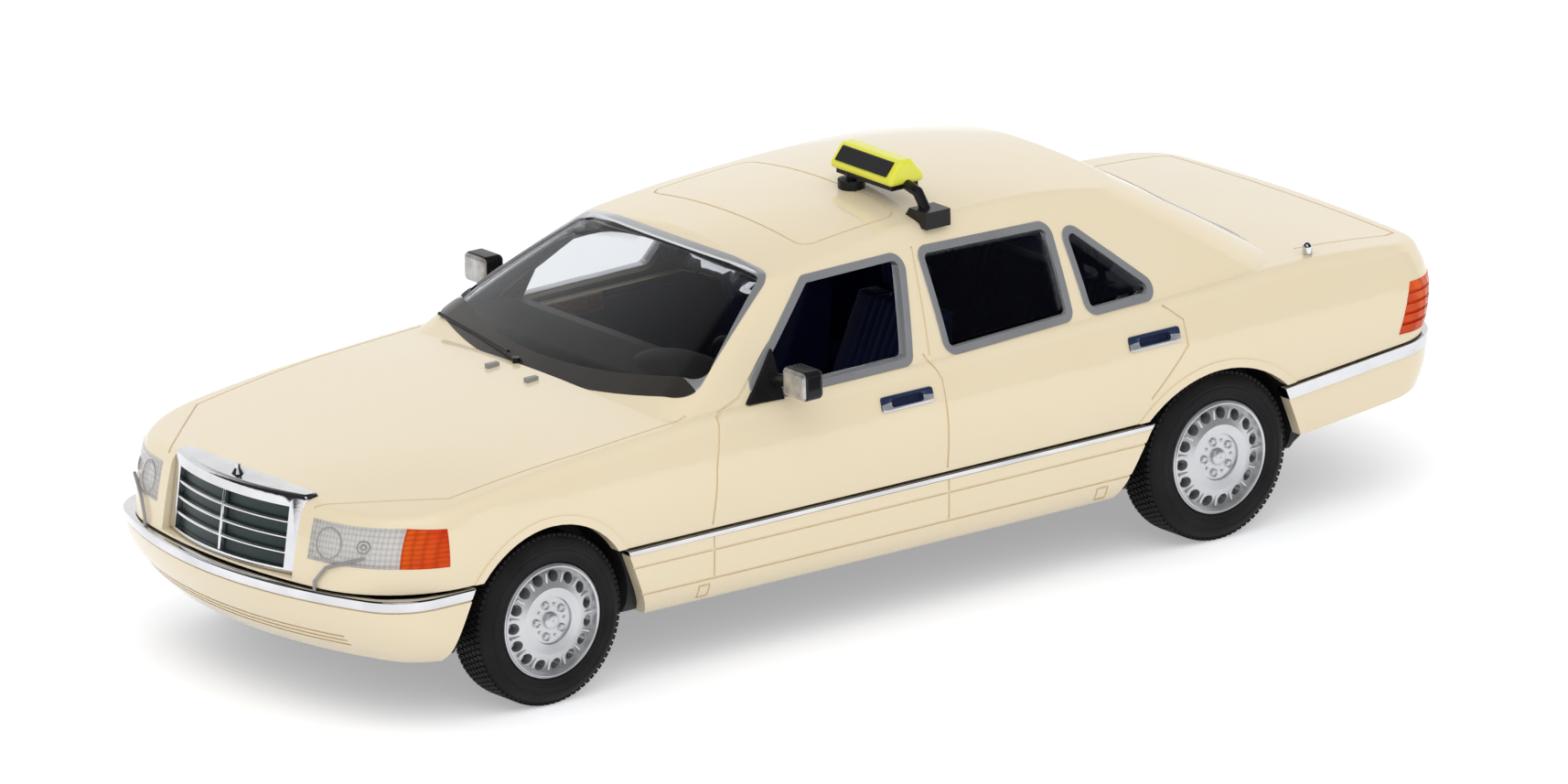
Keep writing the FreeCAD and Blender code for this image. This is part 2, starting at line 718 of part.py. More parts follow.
def tail_lamp(band):
    """The wrapped rear lamp, with grooves between its level ribs."""
    lamp = band.common(tail_lamp_prism())
    low, high = pz(TAIL_LAMP_Z_SHARES[0]), pz(TAIL_LAMP_Z_SHARES[1])
    pitch = (high - low) / TAIL_LAMP_RIBS
    inside = lower_body(TAIL_RIB_DEPTH)
    slots = []
    for i in range(1, TAIL_LAMP_RIBS):
        bottom = low + pitch * i - TAIL_RIB_GAP / 2
        slots.append(block(-LENGTH, 0, 0, WIDTH, bottom, bottom + TAIL_RIB_GAP).cut(inside))
    return lamp.cut(slots)


# Grille

def grille_envelope(extra=0.0, top=GRILLE_TOP, bottom=GRILLE_BOTTOM, half=GRILLE_HALF_WIDTH):
    """The raked and bowed block that the grille's shell fills; extra moves its face forward."""
    wires = []
    slope = GRILLE_RAKE / (GRILLE_TOP - GRILLE_BOTTOM)
    rear = LENGTH / 2 - GRILLE_BACK
    for level in (bottom, top):
        face = LENGTH / 2 - GRILLE_SETBACK - slope * (level - GRILLE_BOTTOM) + extra
        bow = GRILLE_BOW_RADIUS - math.sqrt(GRILLE_BOW_RADIUS ** 2 - half ** 2)
        front_left, front_right = Vector(face - bow, half, level), Vector(face - bow, -half, level)
        rear_left, rear_right = Vector(rear, half, level), Vector(rear, -half, level)
        front = Part.Arc(front_right, Vector(face, 0, level), front_left).toShape()
        straight = [Part.makeLine(front_left, rear_left), Part.makeLine(rear_left, rear_right),
                    Part.makeLine(rear_right, front_right)]
        wires.append(Part.Wire([front] + straight))
    return Part.makeLoft(wires, True, True)


def grille_space(extra, depth, inset=0.0):
    """A slice of the space inside the shell's border, from its face to a depth."""
    top = GRILLE_TOP - GRILLE_HEADER - inset
    bottom = GRILLE_BOTTOM + GRILLE_SILL + inset
    half = GRILLE_HALF_WIDTH - GRILLE_BORDER - inset
    inner = grille_envelope(-depth, GRILLE_TOP, GRILLE_BOTTOM, GRILLE_HALF_WIDTH)
    return grille_envelope(extra, top, bottom, half).cut(inner)


def grille_shell():
    shell = grille_envelope()
    limit = LENGTH / 2 - GRILLE_BACK + GRILLE_EDGE
    shell = softened(shell, GRILLE_EDGE, lambda edge: edge.CenterOfMass.x > limit)
    return shell.cut(grille_space(GRILLE_EDGE, GRILLE_POCKET))


def grille_insert():
    return grille_space(INSERT_THICKNESS - GRILLE_POCKET, GRILLE_POCKET, GLASS_CLEARANCE)


def grille_slats():
    depth = GRILLE_POCKET - INSERT_THICKNESS - GLASS_CLEARANCE
    space = grille_space(SLAT_STAND - depth, depth, GLASS_CLEARANCE)
    low = GRILLE_BOTTOM + GRILLE_SILL
    high = GRILLE_TOP - GRILLE_HEADER
    pitch = (high - low) / (SLAT_COUNT + 1)
    bars = [block(0, LENGTH, -SLAT_THICKNESS / 2, SLAT_THICKNESS / 2, low, high)]
    for i in range(1, SLAT_COUNT + 1):
        bottom = low + pitch * i - SLAT_THICKNESS / 2
        bars.append(block(0, LENGTH, -WIDTH, WIDTH, bottom, bottom + SLAT_THICKNESS))
    return space.common(joined(bars))


# Body shell, made as its left half and mirrored

def arch_cylinder(x, z, radius, inner_y):
    return Part.makeCylinder(radius, WIDTH / 2 + OVERRUN - inner_y, Vector(x, inner_y, z), Vector(0, 1, 0))


def arch_places():
    return ((FRONT_AXLE_X, AXLE_Z, FRONT_ARCH_RADIUS),
            (REAR_AXLE_X, REAR_ARCH_TOP - REAR_ARCH_RADIUS, REAR_ARCH_RADIUS))


def arch_lips():
    """A narrow raised band round each wheel opening."""
    band = lower_body(-ARCH_LIP_STAND).cut(lower_body(WALL / 2))
    above = block(-LENGTH, LENGTH, WELL_INNER_Y, WIDTH, SPLIT_HEIGHT, HEIGHT)
    lips = []
    for x, z, radius in arch_places():
        ring = arch_cylinder(x, z, radius + ARCH_LIP_WIDTH, WELL_INNER_Y)
        lips.append(band.common(ring.cut(arch_cylinder(x, z, radius, WELL_INNER_Y)).common(above)))
    return lips


def rear_bumper_outline():
    return side_points(REAR_BUMPER_SHARES)


def engraved_lines():
    """Panel gaps on the left half as thin prisms that cross the surface they mark."""
    strips = []
    for shares in (FRONT_DOOR_LINE_SHARES, FRONT_POST_LINE_SHARES, CENTRE_LINE_SHARES,
                   CENTRE_POST_LINE_SHARES, REAR_DOOR_LINE_SHARES):
        strips += line_strips(side_points(shares), "side", 0, WIDTH)
    low, high = pz(PLAN_LINE_LOW_SHARE), pz(PLAN_LINE_HIGH_SHARE)
    for shares in (BONNET_LINE_SHARES, BOOT_LINE_SHARES):
        strips += line_strips([(px(x), py(y)) for x, y in shares], "top", low, high)
    front, front_half, rear, rear_half = SUNROOF_SHARES
    outline = [(px(front), -py(front_half)), (px(front), py(front_half)),
               (px(rear), py(rear_half)), (px(rear), -py(rear_half))]
    outer = prism(grown(outline, GROOVE_WIDTH), "top", high, 2 * HEIGHT, SUNROOF_CORNER + GROOVE_WIDTH)
    ring = outer.cut(prism(outline, "top", high, 2 * HEIGHT, SUNROOF_CORNER))
    strips.append(ring.common(left_half()))
    return strips


def square_line(x, z, size, low, high, corner):
    """The outline of a square cover on a side, as a thin ring that crosses the surface."""
    half = size / 2
    square = [(x - half, z - half), (x + half, z - half), (x + half, z + half), (x - half, z + half)]
    ring = prism(grown(square, GROOVE_WIDTH), "side", low, high, corner + GROOVE_WIDTH)
    return ring.cut(prism(square, "side", low, high, corner))


def fuel_flap_line():
    x, z = px(FUEL_FLAP_SHARES[0]), pz(FUEL_FLAP_SHARES[1])
    return square_line(x, z, FUEL_FLAP_SIZE, -WIDTH, 0, WINDOW_CORNER).cut(lower_body(GROOVE_DEPTH))


def post_places():
    return (LENGTH / 2 - POST_INSET, POST_INSET - LENGTH / 2)


def body_posts():
    """The two screw posts under bonnet and boot, down to the base plate."""
    limit = lower_body(WALL / 2)
    limit = limit.fuse(block(-LENGTH, LENGTH, -WIDTH, WIDTH, 0, SPLIT_HEIGHT))
    posts = []
    for x in post_places():
        foot = base_top_at(x)
        post = Part.makeCylinder(POST_DIAMETER / 2, HEIGHT, Vector(x, 0, foot)).common(limit)
        posts.append(post.cut(Part.makeCylinder(SCREW_DIAMETER / 2, SCREW_LENGTH, Vector(x, 0, foot))))
    return posts


def body_shell(fitted):
    half = left_half()
    outer = lower_body(0, DECK_EDGE_RADIUS).common(half).fuse(cabin(0, ROOF_EDGE_RADIUS).common(half))
    foot = Part.Face(plan_outline(UPPER_SHARES[0], UPPER_BOW_SHARES, 2 * WALL))
    belt = foot.extrude(Vector(0, 0, -2 * WALL)).common(lower_body(WALL / 2))
    inner = lower_body(WALL, INNER_EDGE_RADIUS).fuse(belt).common(half)
    inner = inner.fuse(cabin(WALL, INNER_EDGE_RADIUS).common(half))
    shell = outer.fuse(arch_lips()).cut(inner)
    cutters = [block(-LENGTH, LENGTH, -WIDTH, WIDTH, -HEIGHT, SPLIT_HEIGHT)]
    cutters.append(prism(grown(rear_bumper_outline(), SPLIT_GAP), "side", -WIDTH, WIDTH))
    cutters += [arch_cylinder(x, z, radius, WELL_INNER_Y) for x, z, radius in arch_places()]
    corner = WINDOW_CORNER + FRAME_WIDTH
    cutters += [side_prism(outline, FRAME_WIDTH, corner) for outline in window_outlines()]
    deck = lower_body(0)
    cutters += [screen_opening(shares).cut(deck) for shares in (WINDSCREEN_SHARES, REAR_SCREEN_SHARES)]
    shell = shell.cut(cutters).cut(fitted)
    inside = lower_body(GROOVE_DEPTH, DECK_EDGE_RADIUS).fuse(cabin(GROOVE_DEPTH, ROOF_EDGE_RADIUS))
    inside = inside.common(half)
    shell = shell.cut([strip.cut(inside) for strip in engraved_lines()])
    shell = shell.fuse(mirrored(shell))
    return shell.cut(fuel_flap_line()).fuse(body_posts())


# Bumpers, sills and their bright strips

def skirt_ring():
    return skirt(-STRIP_STAND).cut(skirt(SKIRT_WALL)), skirt(0).cut(skirt(SKIRT_WALL))


def edge_at(ends, z):
    """The x of a leaning edge, given at two heights, at height z."""
    (top_x, top_z), (low_x, low_z) = ends
    lean = (px(top_x) - px(low_x)) / (pz(top_z) - pz(low_z))
    return px(low_x) + lean * (z - pz(low_z))


def front_bumper_region(low, high):
    ends = FRONT_BUMPER_END_SHARES
    outline = [(edge_at(ends, low), low), (LENGTH, low), (LENGTH, high), (edge_at(ends, high), high)]
    return prism(outline, "side", -WIDTH, WIDTH)


def sill_region(low, high):
    outline = [(edge_at(SILL_REAR_SHARES, low), low), (edge_at(SILL_FRONT_SHARES, low), low),
               (edge_at(SILL_FRONT_SHARES, high), high), (edge_at(SILL_REAR_SHARES, high), high)]
    return prism(outline, "side", 0, WIDTH)


def rear_bumper_regions():
    """The rear bumper's outline in side view, split along its rising top into strip and bumper."""
    front_top, front_low, low, low_rear, top_rear, top = rear_bumper_outline()
    depth = FRONT_STRIP_HEIGHT
    lean = (front_top[0] - front_low[0]) / (front_top[1] - front_low[1])
    edge = (front_top[0] - lean * depth, front_top[1] - depth)
    under = [(x, z - depth) for x, z in (top, top_rear)]
    strip = [front_top, edge, under[0], under[1], top_rear, top]
    bumper = [edge, front_low, low, low_rear, under[1], under[0]]
    return prism(strip, "side", -WIDTH, WIDTH), prism(bumper, "side", -WIDTH, WIDTH)


def skirt_grooves():
    """Level creases on sills and front bumper, the bumper's slots and the door seams."""
    inside = skirt(GROOVE_DEPTH)
    half = GROOVE_WIDTH / 2
    slabs = []
    for share in SILL_CREASE_SHARES:
        z = pz(share)
        slabs.append(sill_region(z - half, z + half))
        slabs.append(mirrored(slabs[-1]))
    z = pz(FRONT_CREASE_SHARE)
    slabs.append(front_bumper_region(z - half, z + half))
    reach = py(FRONT_SLOT_HALF_SHARE)
    for share in FRONT_SLOT_SHARES:
        z = pz(share)
        slabs.append(block(0, LENGTH, -reach, reach, z - half, z + half))
    for shares in (FRONT_DOOR_LINE_SHARES, CENTRE_LINE_SHARES):
        x = px(shares[0][0])
        slabs.append(block(x - half, x + half, -WIDTH, WIDTH, pz(SILL_CREASE_SHARES[0]), SPLIT_HEIGHT))
    for share in JACK_MARK_SHARES:
        slabs.append(square_line(px(share), pz(JACK_MARK_Z_SHARE), JACK_MARK_SIZE, 0, WIDTH, 0))
    return [slab.cut(inside) for slab in slabs]


def skirt_pieces():
    bright, plain = skirt_ring()
    grooves = skirt_grooves()
    top = SPLIT_HEIGHT - SPLIT_GAP
    strip_low = top - FRONT_STRIP_HEIGHT
    sill_low = top - STRIP_HEIGHT
    rear_strip, rear_bumper = rear_bumper_regions()
    pieces = {
        "front_bumper_strip": bright.common(front_bumper_region(strip_low, top)),
        "rear_bumper_strip": bright.common(rear_strip),
        "front_bumper": plain.common(front_bumper_region(0, strip_low)).cut(grooves),
        "rear_bumper": plain.common(rear_bumper),
    }
    strip = bright.common(sill_region(sill_low, top))
    sill = plain.common(sill_region(0, sill_low)).cut(grooves)
    pieces["side_strip_left"] = strip
    pieces["side_strip_right"] = mirrored(strip)
    pieces["side_sill_left"] = sill
    pieces["side_sill_right"] = mirrored(sill)
    return pieces


# Base plate with rails, wheel wells and axle bearings

def base_profile():
    """Lower edge of the plate in side view: flat, with the tail rising behind the rear wheels."""
    tail_start = REAR_AXLE_X - WELL_RADIUS
    tail = BASE_BOTTOM + BASE_TAIL_RISE
    return [(LENGTH / 2, BASE_BOTTOM), (tail_start, BASE_BOTTOM),
            (tail_start - BASE_TAIL_RISE, tail), (-LENGTH / 2, tail)]


def base_top_at(x):
    """Height of the plate's upper face at a place along the car."""
    profile = base_profile()
    for (ax, az), (bx, bz) in zip(profile, profile[1:]):
        if bx <= x <= ax:
            return az + (bz - az) * (x - ax) / (bx - ax) + BASE_THICKNESS
    return BASE_TOP


def inside_skirt(inset):
    solid = skirt(inset)
    floor = Part.Face(plan_outline(SKIRT_SHARES[0], SKIRT_BOW_SHARES, inset))
    return solid.fuse(floor.extrude(Vector(0, 0, -SKIRT_BOTTOM)))


def wheel_wells():
    wells = []
    depth = WIDTH / 2 - WALL - RAIL_CLEARANCE - WELL_INNER_Y
    for x in (FRONT_AXLE_X, REAR_AXLE_X):
        base = Vector(x, WELL_INNER_Y - WELL_WALL, AXLE_Z)
        outer = Part.makeCylinder(WELL_RADIUS + WELL_WALL, depth + WELL_WALL, base, Vector(0, 1, 0))
        inner = Part.makeCylinder(WELL_RADIUS, depth, Vector(x, WELL_INNER_Y, AXLE_Z), Vector(0, 1, 0))
        above = block(-LENGTH, LENGTH, 0, WIDTH, BASE_BOTTOM, HEIGHT)
        wells.append(outer.cut(inner).common(above))
    return wells


def base_plate():
    lower = base_profile()
    upper = [(x, z + BASE_THICKNESS) for x, z in reversed(lower)]
    inset = SKIRT_WALL + BASE_EDGE_CLEARANCE
    inside = inside_skirt(inset)
    plate = prism(lower + upper, "side", -WIDTH, WIDTH).common(inside)
    band = inside.cut(skirt(inset + RAIL_WALL))
    whole = block(-LENGTH, LENGTH, -WIDTH, WIDTH, SPLIT_HEIGHT, HEIGHT)
    allowed = inside.cut(whole).fuse(lower_body(WALL + RAIL_CLEARANCE).common(whole))
    rails = []
    front_end = FRONT_AXLE_X - WELL_RADIUS
    rear_end = REAR_AXLE_X + WELL_RADIUS
    for side in (0, -WIDTH):
        space = block(rear_end, front_end, side, side + WIDTH, BASE_BOTTOM, SPLIT_HEIGHT + RAIL_TONGUE)
        rails.append(band.common(space))
    notches = []
    for x in (FRONT_AXLE_X, REAR_AXLE_X):
        notches.append(block(x - WELL_RADIUS, x + WELL_RADIUS, WELL_INNER_Y, WIDTH, 0, AXLE_Z))
    notches += [mirrored(notch) for notch in notches]
    plate = plate.cut(notches)
    added = list(rails)
    for well in wheel_wells():
        added += [well, mirrored(well)]
    bearing_half = AXLE_DIAMETER / 2 + AXLE_CLEARANCE + BEARING_WALL
    for x in (FRONT_AXLE_X, REAR_AXLE_X):
        y = WELL_INNER_Y - WELL_WALL - BEARING_INSET
        bearing = block(x - bearing_half, x + bearing_half, y - BEARING_LENGTH, y,
                        BASE_BOTTOM, AXLE_Z + bearing_half)
        added += [bearing, mirrored(bearing)]
    boss_radius = PLINTH_HOLE_DIAMETER / 2 + PLINTH_BOSS_WALL
    for x in plinth_holes():
        bottom = base_top_at(x) - BASE_THICKNESS
        added.append(Part.makeCylinder(boss_radius, PLINTH_HOLE_DEPTH + WALL, Vector(x, 0, bottom)))
    plate = plate.fuse(added).common(allowed).fuse(underside_reliefs())
    cuts = []
    for x in (FRONT_AXLE_X, REAR_AXLE_X):
        passage = AXLE_DIAMETER + 2 * AXLE_PASSAGE_CLEARANCE
        middle = WELL_INNER_Y - WELL_WALL - BEARING_INSET
        bore = AXLE_DIAMETER + 2 * AXLE_CLEARANCE
        cuts.append(rod(Vector(x, -WIDTH, AXLE_Z), Vector(x, WIDTH, AXLE_Z), bore))
        for side in (1, -1):
            cuts.append(rod(Vector(x, middle * side, AXLE_Z), Vector(x, WIDTH * side, AXLE_Z), passage))
    for x in plinth_holes():
        bottom = base_top_at(x) - BASE_THICKNESS
        cuts.append(Part.makeCylinder(PLINTH_HOLE_DIAMETER / 2, PLINTH_HOLE_DEPTH, Vector(x, 0, bottom)))
        cuts.append(Part.makeCylinder(boss_radius, RELIEF_HEIGHT, Vector(x, 0, bottom - RELIEF_HEIGHT)))
    for x in post_places():
        bottom = base_top_at(x) - BASE_THICKNESS - BASE_THICKNESS
        cuts.append(Part.makeCylinder(SCREW_DIAMETER / 2 + AXLE_CLEARANCE, HEIGHT, Vector(x, 0, bottom)))
    return plate.cut(cuts)


def plinth_holes():
    return (PLINTH_HOLE_FRONT, PLINTH_HOLE_FRONT - PLINTH_HOLE_PITCH)


def underside_reliefs():
    """Engine sump, gearbox, propshaft and fuel tank, raised on the plate's underside."""
    low = BASE_BOTTOM - RELIEF_HEIGHT
    sump_rear = FRONT_AXLE_X - SUMP_LENGTH / 2
    sump = block(sump_rear, sump_rear + SUMP_LENGTH, -SUMP_WIDTH / 2, SUMP_WIDTH / 2, low, BASE_TOP)
    shaft = rod(Vector(REAR_AXLE_X, 0, BASE_BOTTOM), Vector(sump_rear, 0, BASE_BOTTOM), PROPSHAFT_DIAMETER)
    shaft = shaft.common(block(-LENGTH, LENGTH, -WIDTH, WIDTH, low, BASE_TOP))
    half = SUMP_WIDTH / 2
    diff = block(REAR_AXLE_X - half / 2, REAR_AXLE_X + half / 2, -half / 2, half / 2, low, BASE_TOP)
    return [sump, shaft, diff]


def base_screws():
    screws = []
    for x in post_places():
        head_top = base_top_at(x) - BASE_THICKNESS
        low = head_top - SCREW_HEAD_HEIGHT
        screw = Part.makeCylinder(SCREW_HEAD_DIAMETER / 2, SCREW_HEAD_HEIGHT, Vector(x, 0, low))
        screw = screw.fuse(Part.makeCylinder(SCREW_DIAMETER / 2, SCREW_LENGTH, Vector(x, 0, low)))
        reach = SCREW_HEAD_DIAMETER
        half = SCREW_SLOT_WIDTH / 2
        for slot in (block(x - reach, x + reach, -half, half, low - OVERRUN, low + SCREW_SLOT_DEPTH),
                     block(x - half, x + half, -reach, reach, low - OVERRUN, low + SCREW_SLOT_DEPTH)):
            screw = screw.cut(slot)
        screws.append(screw)
    return screws


def exhaust():
    """A round pipe with a silencer, below the plate on the right side, rising to the tail."""
    z = BASE_BOTTOM - PIPE_DIAMETER / 2
    start = Vector(FRONT_AXLE_X - SUMP_LENGTH, -PIPE_OFFSET, z)
    mid = Vector(REAR_AXLE_X - WELL_RADIUS, -PIPE_OFFSET, z)
    rise = Vector(mid.x - PIPE_TAIL_RISE, -PIPE_OFFSET, z + PIPE_TAIL_RISE)
    end = Vector(-LENGTH / 2 + PIPE_END_INSET, -PIPE_OFFSET, z + PIPE_TAIL_RISE)
    pipe = rod(start, mid, PIPE_DIAMETER)
    pieces = [rod(mid, rise, PIPE_DIAMETER), rod(rise, end, PIPE_DIAMETER)]
    for joint in (mid, rise):
        pieces.append(Part.makeSphere(PIPE_DIAMETER / 2, joint))
    half = SILENCER_WIDTH / 2
    middle = (FRONT_AXLE_X + REAR_AXLE_X) / 2 - SILENCER_LENGTH / 2
    box = block(middle, middle + SILENCER_LENGTH, -PIPE_OFFSET - half, -PIPE_OFFSET + half,
                BASE_BOTTOM - SILENCER_HEIGHT, BASE_BOTTOM)
    pieces.append(box)
    return pipe.fuse(pieces)


# Wheels

def turned(profile, x, y, side):
    """A body of revolution about a wheel's axis; profile points are radius and depth from the face."""
    points = [Vector(x + radius, y - depth * side, AXLE_Z) for radius, depth in profile]
    wire = Part.makePolygon(points + [points[0]])
    return Part.Face(wire).revolve(Vector(x, 0, AXLE_Z), Vector(0, 1, 0), 360)


def tyre(x, side):
    """A plain tyre with leaning walls and flat shoulders, seated on the rim's outside."""
    outer = TYRE_DIAMETER / 2
    inner = RIM_DIAMETER / 2
    edge = TYRE_SHOULDER
    profile = [(inner, TYRE_BEAD), ((inner + outer) / 2, 0), (outer - edge / 2, TYRE_BEAD), (outer, edge)]
    profile += [(radius, TYRE_WIDTH - depth) for radius, depth in reversed(profile)]
    return turned(profile, x, WHEEL_FACE_Y * side, side)


def rim(x, side):
    """A smooth disc with a ring of holes, a sunken hub with lugs, and the barrel behind it."""
    outer = RIM_DIAMETER / 2
    face = RIM_FACE_INSET
    hub = HUB_DIAMETER / 2
    dish = LUG_CIRCLE / 2 + LUG_DIAMETER
    holes = RIM_HOLE_CIRCLE / 2
    wall = outer - RIM_BARREL_WALL
    boss = RIM_HUB_DIAMETER / 2
    back = face + RIM_DISC_THICKNESS + RIM_CROWN
    disc = [(0, face), (hub / 2, face), (hub / 2, face + HUB_STEP), (dish, face + HUB_STEP),
            (dish + HUB_STEP, face - RIM_CROWN / 2), (holes - RIM_HOLE_DIAMETER, face - RIM_CROWN),
            (wall, face + RIM_CROWN),
            (outer - RIM_BARREL_WALL / 2, 0), (outer, RIM_CROWN / 2), (outer, TYRE_WIDTH),
            (wall, TYRE_WIDTH), (wall, back), (boss, back), (boss, TYRE_WIDTH), (0, TYRE_WIDTH)]
    y = WHEEL_FACE_Y * side
    solid = turned(disc, x, y, side)
    cuts = []
    for i in range(RIM_HOLES):
        angle = 2 * math.pi * i / RIM_HOLES
        radius = RIM_HOLE_CIRCLE / 2
        place = Vector(x + radius * math.cos(angle), y, AXLE_Z + radius * math.sin(angle))
        deep = place - Vector(0, side * (face + RIM_DISC_THICKNESS + 2 * RIM_CROWN), 0)
        cuts.append(rod(place + Vector(0, side * WALL, 0), deep, RIM_HOLE_DIAMETER))
    cuts.append(rod(Vector(x, 0, AXLE_Z), Vector(x, y - side * AXLE_END_COVER, AXLE_Z), AXLE_DIAMETER))
    solid = solid.cut(cuts)
    lugs = []
    for i in range(LUG_COUNT):
        angle = 2 * math.pi * i / LUG_COUNT
        radius = LUG_CIRCLE / 2
        place = Vector(x + radius * math.cos(angle), y - side * face, AXLE_Z + radius * math.sin(angle))
        lugs.append(rod(place, place - Vector(0, side * RIM_DISC_THICKNESS, 0), LUG_DIAMETER))
    return solid.fuse(lugs)


def axle(x):
    reach = WHEEL_FACE_Y - AXLE_END_COVER
    return rod(Vector(x, -reach, AXLE_Z), Vector(x, reach, AXLE_Z), AXLE_DIAMETER)


def wheel_pieces():
    pieces = {}
    for end, x in (("front", FRONT_AXLE_X), ("rear", REAR_AXLE_X)):
        pieces[end + "_axle"] = axle(x)
        left_rim, left_tyre = rim(x, 1), tyre(x, 1)
        pieces["rim_" + end + "_left"] = left_rim
        pieces["tyre_" + end + "_left"] = left_tyre
        pieces["rim_" + end + "_right"] = mirrored(left_rim)
        pieces["tyre_" + end + "_right"] = mirrored(left_tyre)
    return pieces


# Interior

def tub_half_width():
    return py(SKIRT_SHARES[0][3]) - SKIRT_WALL - BASE_EDGE_CLEARANCE - RAIL_WALL - TUB_SIDE_GAP


def tub_tail_half_width():
    return WELL_INNER_Y - WELL_WALL - TUB_SIDE_GAP


def interior_tub():
    front, rear = px(TUB_FRONT_SHARE), px(TUB_REAR_SHARE)
    step = REAR_AXLE_X + WELL_RADIUS + WELL_WALL + TUB_SIDE_GAP
    half = tub_half_width()
    tail = tub_tail_half_width()
    floor = BASE_TOP + TUB_CLEARANCE
    outline = [(front, -half), (front, half), (step, half), (step, tail), (rear, tail),
               (rear, -tail), (step, -tail), (step, -half)]
    outer = prism(outline, "top", floor, TUB_TOP)
    inner = prism(grown(outline, -TUB_WALL), "top", floor + TUB_WALL, TUB_TOP + OVERRUN)
    shelf = block(px(SHELF_REAR_SHARE), rear + TUB_WALL, -py(SHELF_HALF_SHARE), py(SHELF_HALF_SHARE),
                  TUB_TOP - TUB_WALL, TUB_TOP)
    tunnel = block(px(REAR_CUSHION_SHARES[1][0]) + TUB_CLEARANCE, front - TUB_WALL,
                   -TUNNEL_WIDTH / 2, TUNNEL_WIDTH / 2, floor, floor + TUNNEL_HEIGHT)
    console = prism(room_points(CONSOLE_SHARES), "side", -TUNNEL_WIDTH / 2, TUNNEL_WIDTH / 2)
    return outer.cut(inner).fuse([shelf, tunnel, console])


def seat_solid(outlines, headrest, middle, width, rest_offsets):
    """Cushion, back and headrests of one seat, from side outlines."""
    low = middle - width / 2
    pieces = [prism(room_points(outline), "side", low, low + width) for outline in outlines]
    x, z = room_points([headrest])[0]
    half = HEADREST_THICKNESS / 2
    for offset in rest_offsets:
        y = middle + offset
        rest = block(x - half, x + half, y - HEADREST_WIDTH / 2, y + HEADREST_WIDTH / 2,
                     z, z + HEADREST_HEIGHT)
        pieces.append(softened(rest, HEADREST_STEM))
        for side in (-1, 1):
            foot = Vector(x, y + side * HEADREST_WIDTH / 4, z + HEADREST_STEM)
            pieces.append(rod(foot, foot - Vector(0, 0, HEADREST_HEIGHT + SEAT_EDGE), HEADREST_STEM))
    return joined(pieces)


def dashboard():
    half = tub_half_width() - TUB_WALL - TUB_CLEARANCE
    return softened(prism(room_points(DASH_SHARES), "side", -half, half), DASH_EDGE,
                    lambda edge: abs(edge.Vertexes[0].Y - edge.Vertexes[-1].Y) > half)


def steering_wheel():
    x_share, y_share, z_share = WHEEL_CENTRE_SHARES
    x, z = room_points([(x_share, z_share)])[0]
    centre = Vector(x, py(y_share), z)
    tilt = math.radians(STEERING_TILT)
    axis = Vector(-math.sin(tilt), 0, math.cos(tilt))
    across = Vector(math.cos(tilt), 0, math.sin(tilt))
    radius = STEERING_WHEEL_DIAMETER / 2 - STEERING_RIM_DIAMETER / 2
    ring = Part.makeTorus(radius, STEERING_RIM_DIAMETER / 2, centre, axis)
    back = centre - axis * STEERING_RIM_DIAMETER
    hub = rod(centre + axis * (STEERING_RIM_DIAMETER / 2), back, STEERING_HUB_DIAMETER)
    spokes = []
    for start, end in ((Vector(0, -radius, 0), Vector(0, radius, 0)), (across * -radius, Vector(0, 0, 0))):
        spokes.append(rod(centre + start, centre + end, STEERING_SPOKE_DIAMETER))
    column = rod(back, centre - axis * STEERING_COLUMN_LENGTH, STEERING_COLUMN_DIAMETER)
    return ring.fuse([hub, column] + spokes)


def room_mirror():
    x, z = px(ROOM_MIRROR_SHARES[0]), pz(ROOM_MIRROR_SHARES[1])
    half = ROOM_MIRROR_WIDTH / 2
    glass = block(x, x + ROOM_MIRROR_DEPTH, -half, half, z, z + ROOM_MIRROR_HEIGHT)
    middle = Vector(x + ROOM_MIRROR_DEPTH / 2, 0, z + ROOM_MIRROR_HEIGHT / 2)
    inside = cabin(WALL)
    stem = rod(middle, Vector(middle.x - ROOM_MIRROR_DEPTH, 0, HEIGHT), ROOM_MIRROR_DEPTH)
    return glass.fuse(stem.common(inside))


# Small outside pieces

def height_over(solid, x, y):
    line = Part.makeLine(Vector(x, y, 0), Vector(x, y, 2 * HEIGHT))
    return solid.common(line).BoundBox.ZMax


def front_over(solid, y, z):
    line = Part.makeLine(Vector(0, y, z), Vector(LENGTH, y, z))
    return solid.common(line).BoundBox.XMax


def handle_places():
    return [(px(x), pz(z)) for x, z in HANDLE_SHARES]


def handle_prism(place, length, height, corner):
    x, z = place
    outline = [(x - length / 2, z - height / 2), (x + length / 2, z - height / 2),
               (x + length / 2, z + height / 2), (x - length / 2, z + height / 2)]
    return prism(outline, "side", 0, WIDTH, corner)


def door_handles():
    """A flush plate on each door with a hollow for the fingers."""
    band = lower_body(-HANDLE_STAND).cut(lower_body(WALL))
    pocket_floor = lower_body(HANDLE_POCKET_DEPTH)
    pieces = []
    for place in handle_places():
        plate = band.common(handle_prism(place, HANDLE_LENGTH, HANDLE_HEIGHT, HANDLE_CORNER))
        pocket = handle_prism(place, HANDLE_POCKET_LENGTH, HANDLE_POCKET_HEIGHT, HANDLE_CORNER)
        plate = plate.cut(pocket.cut(pocket_floor))
        pieces += [plate, mirrored(plate)]
    return pieces


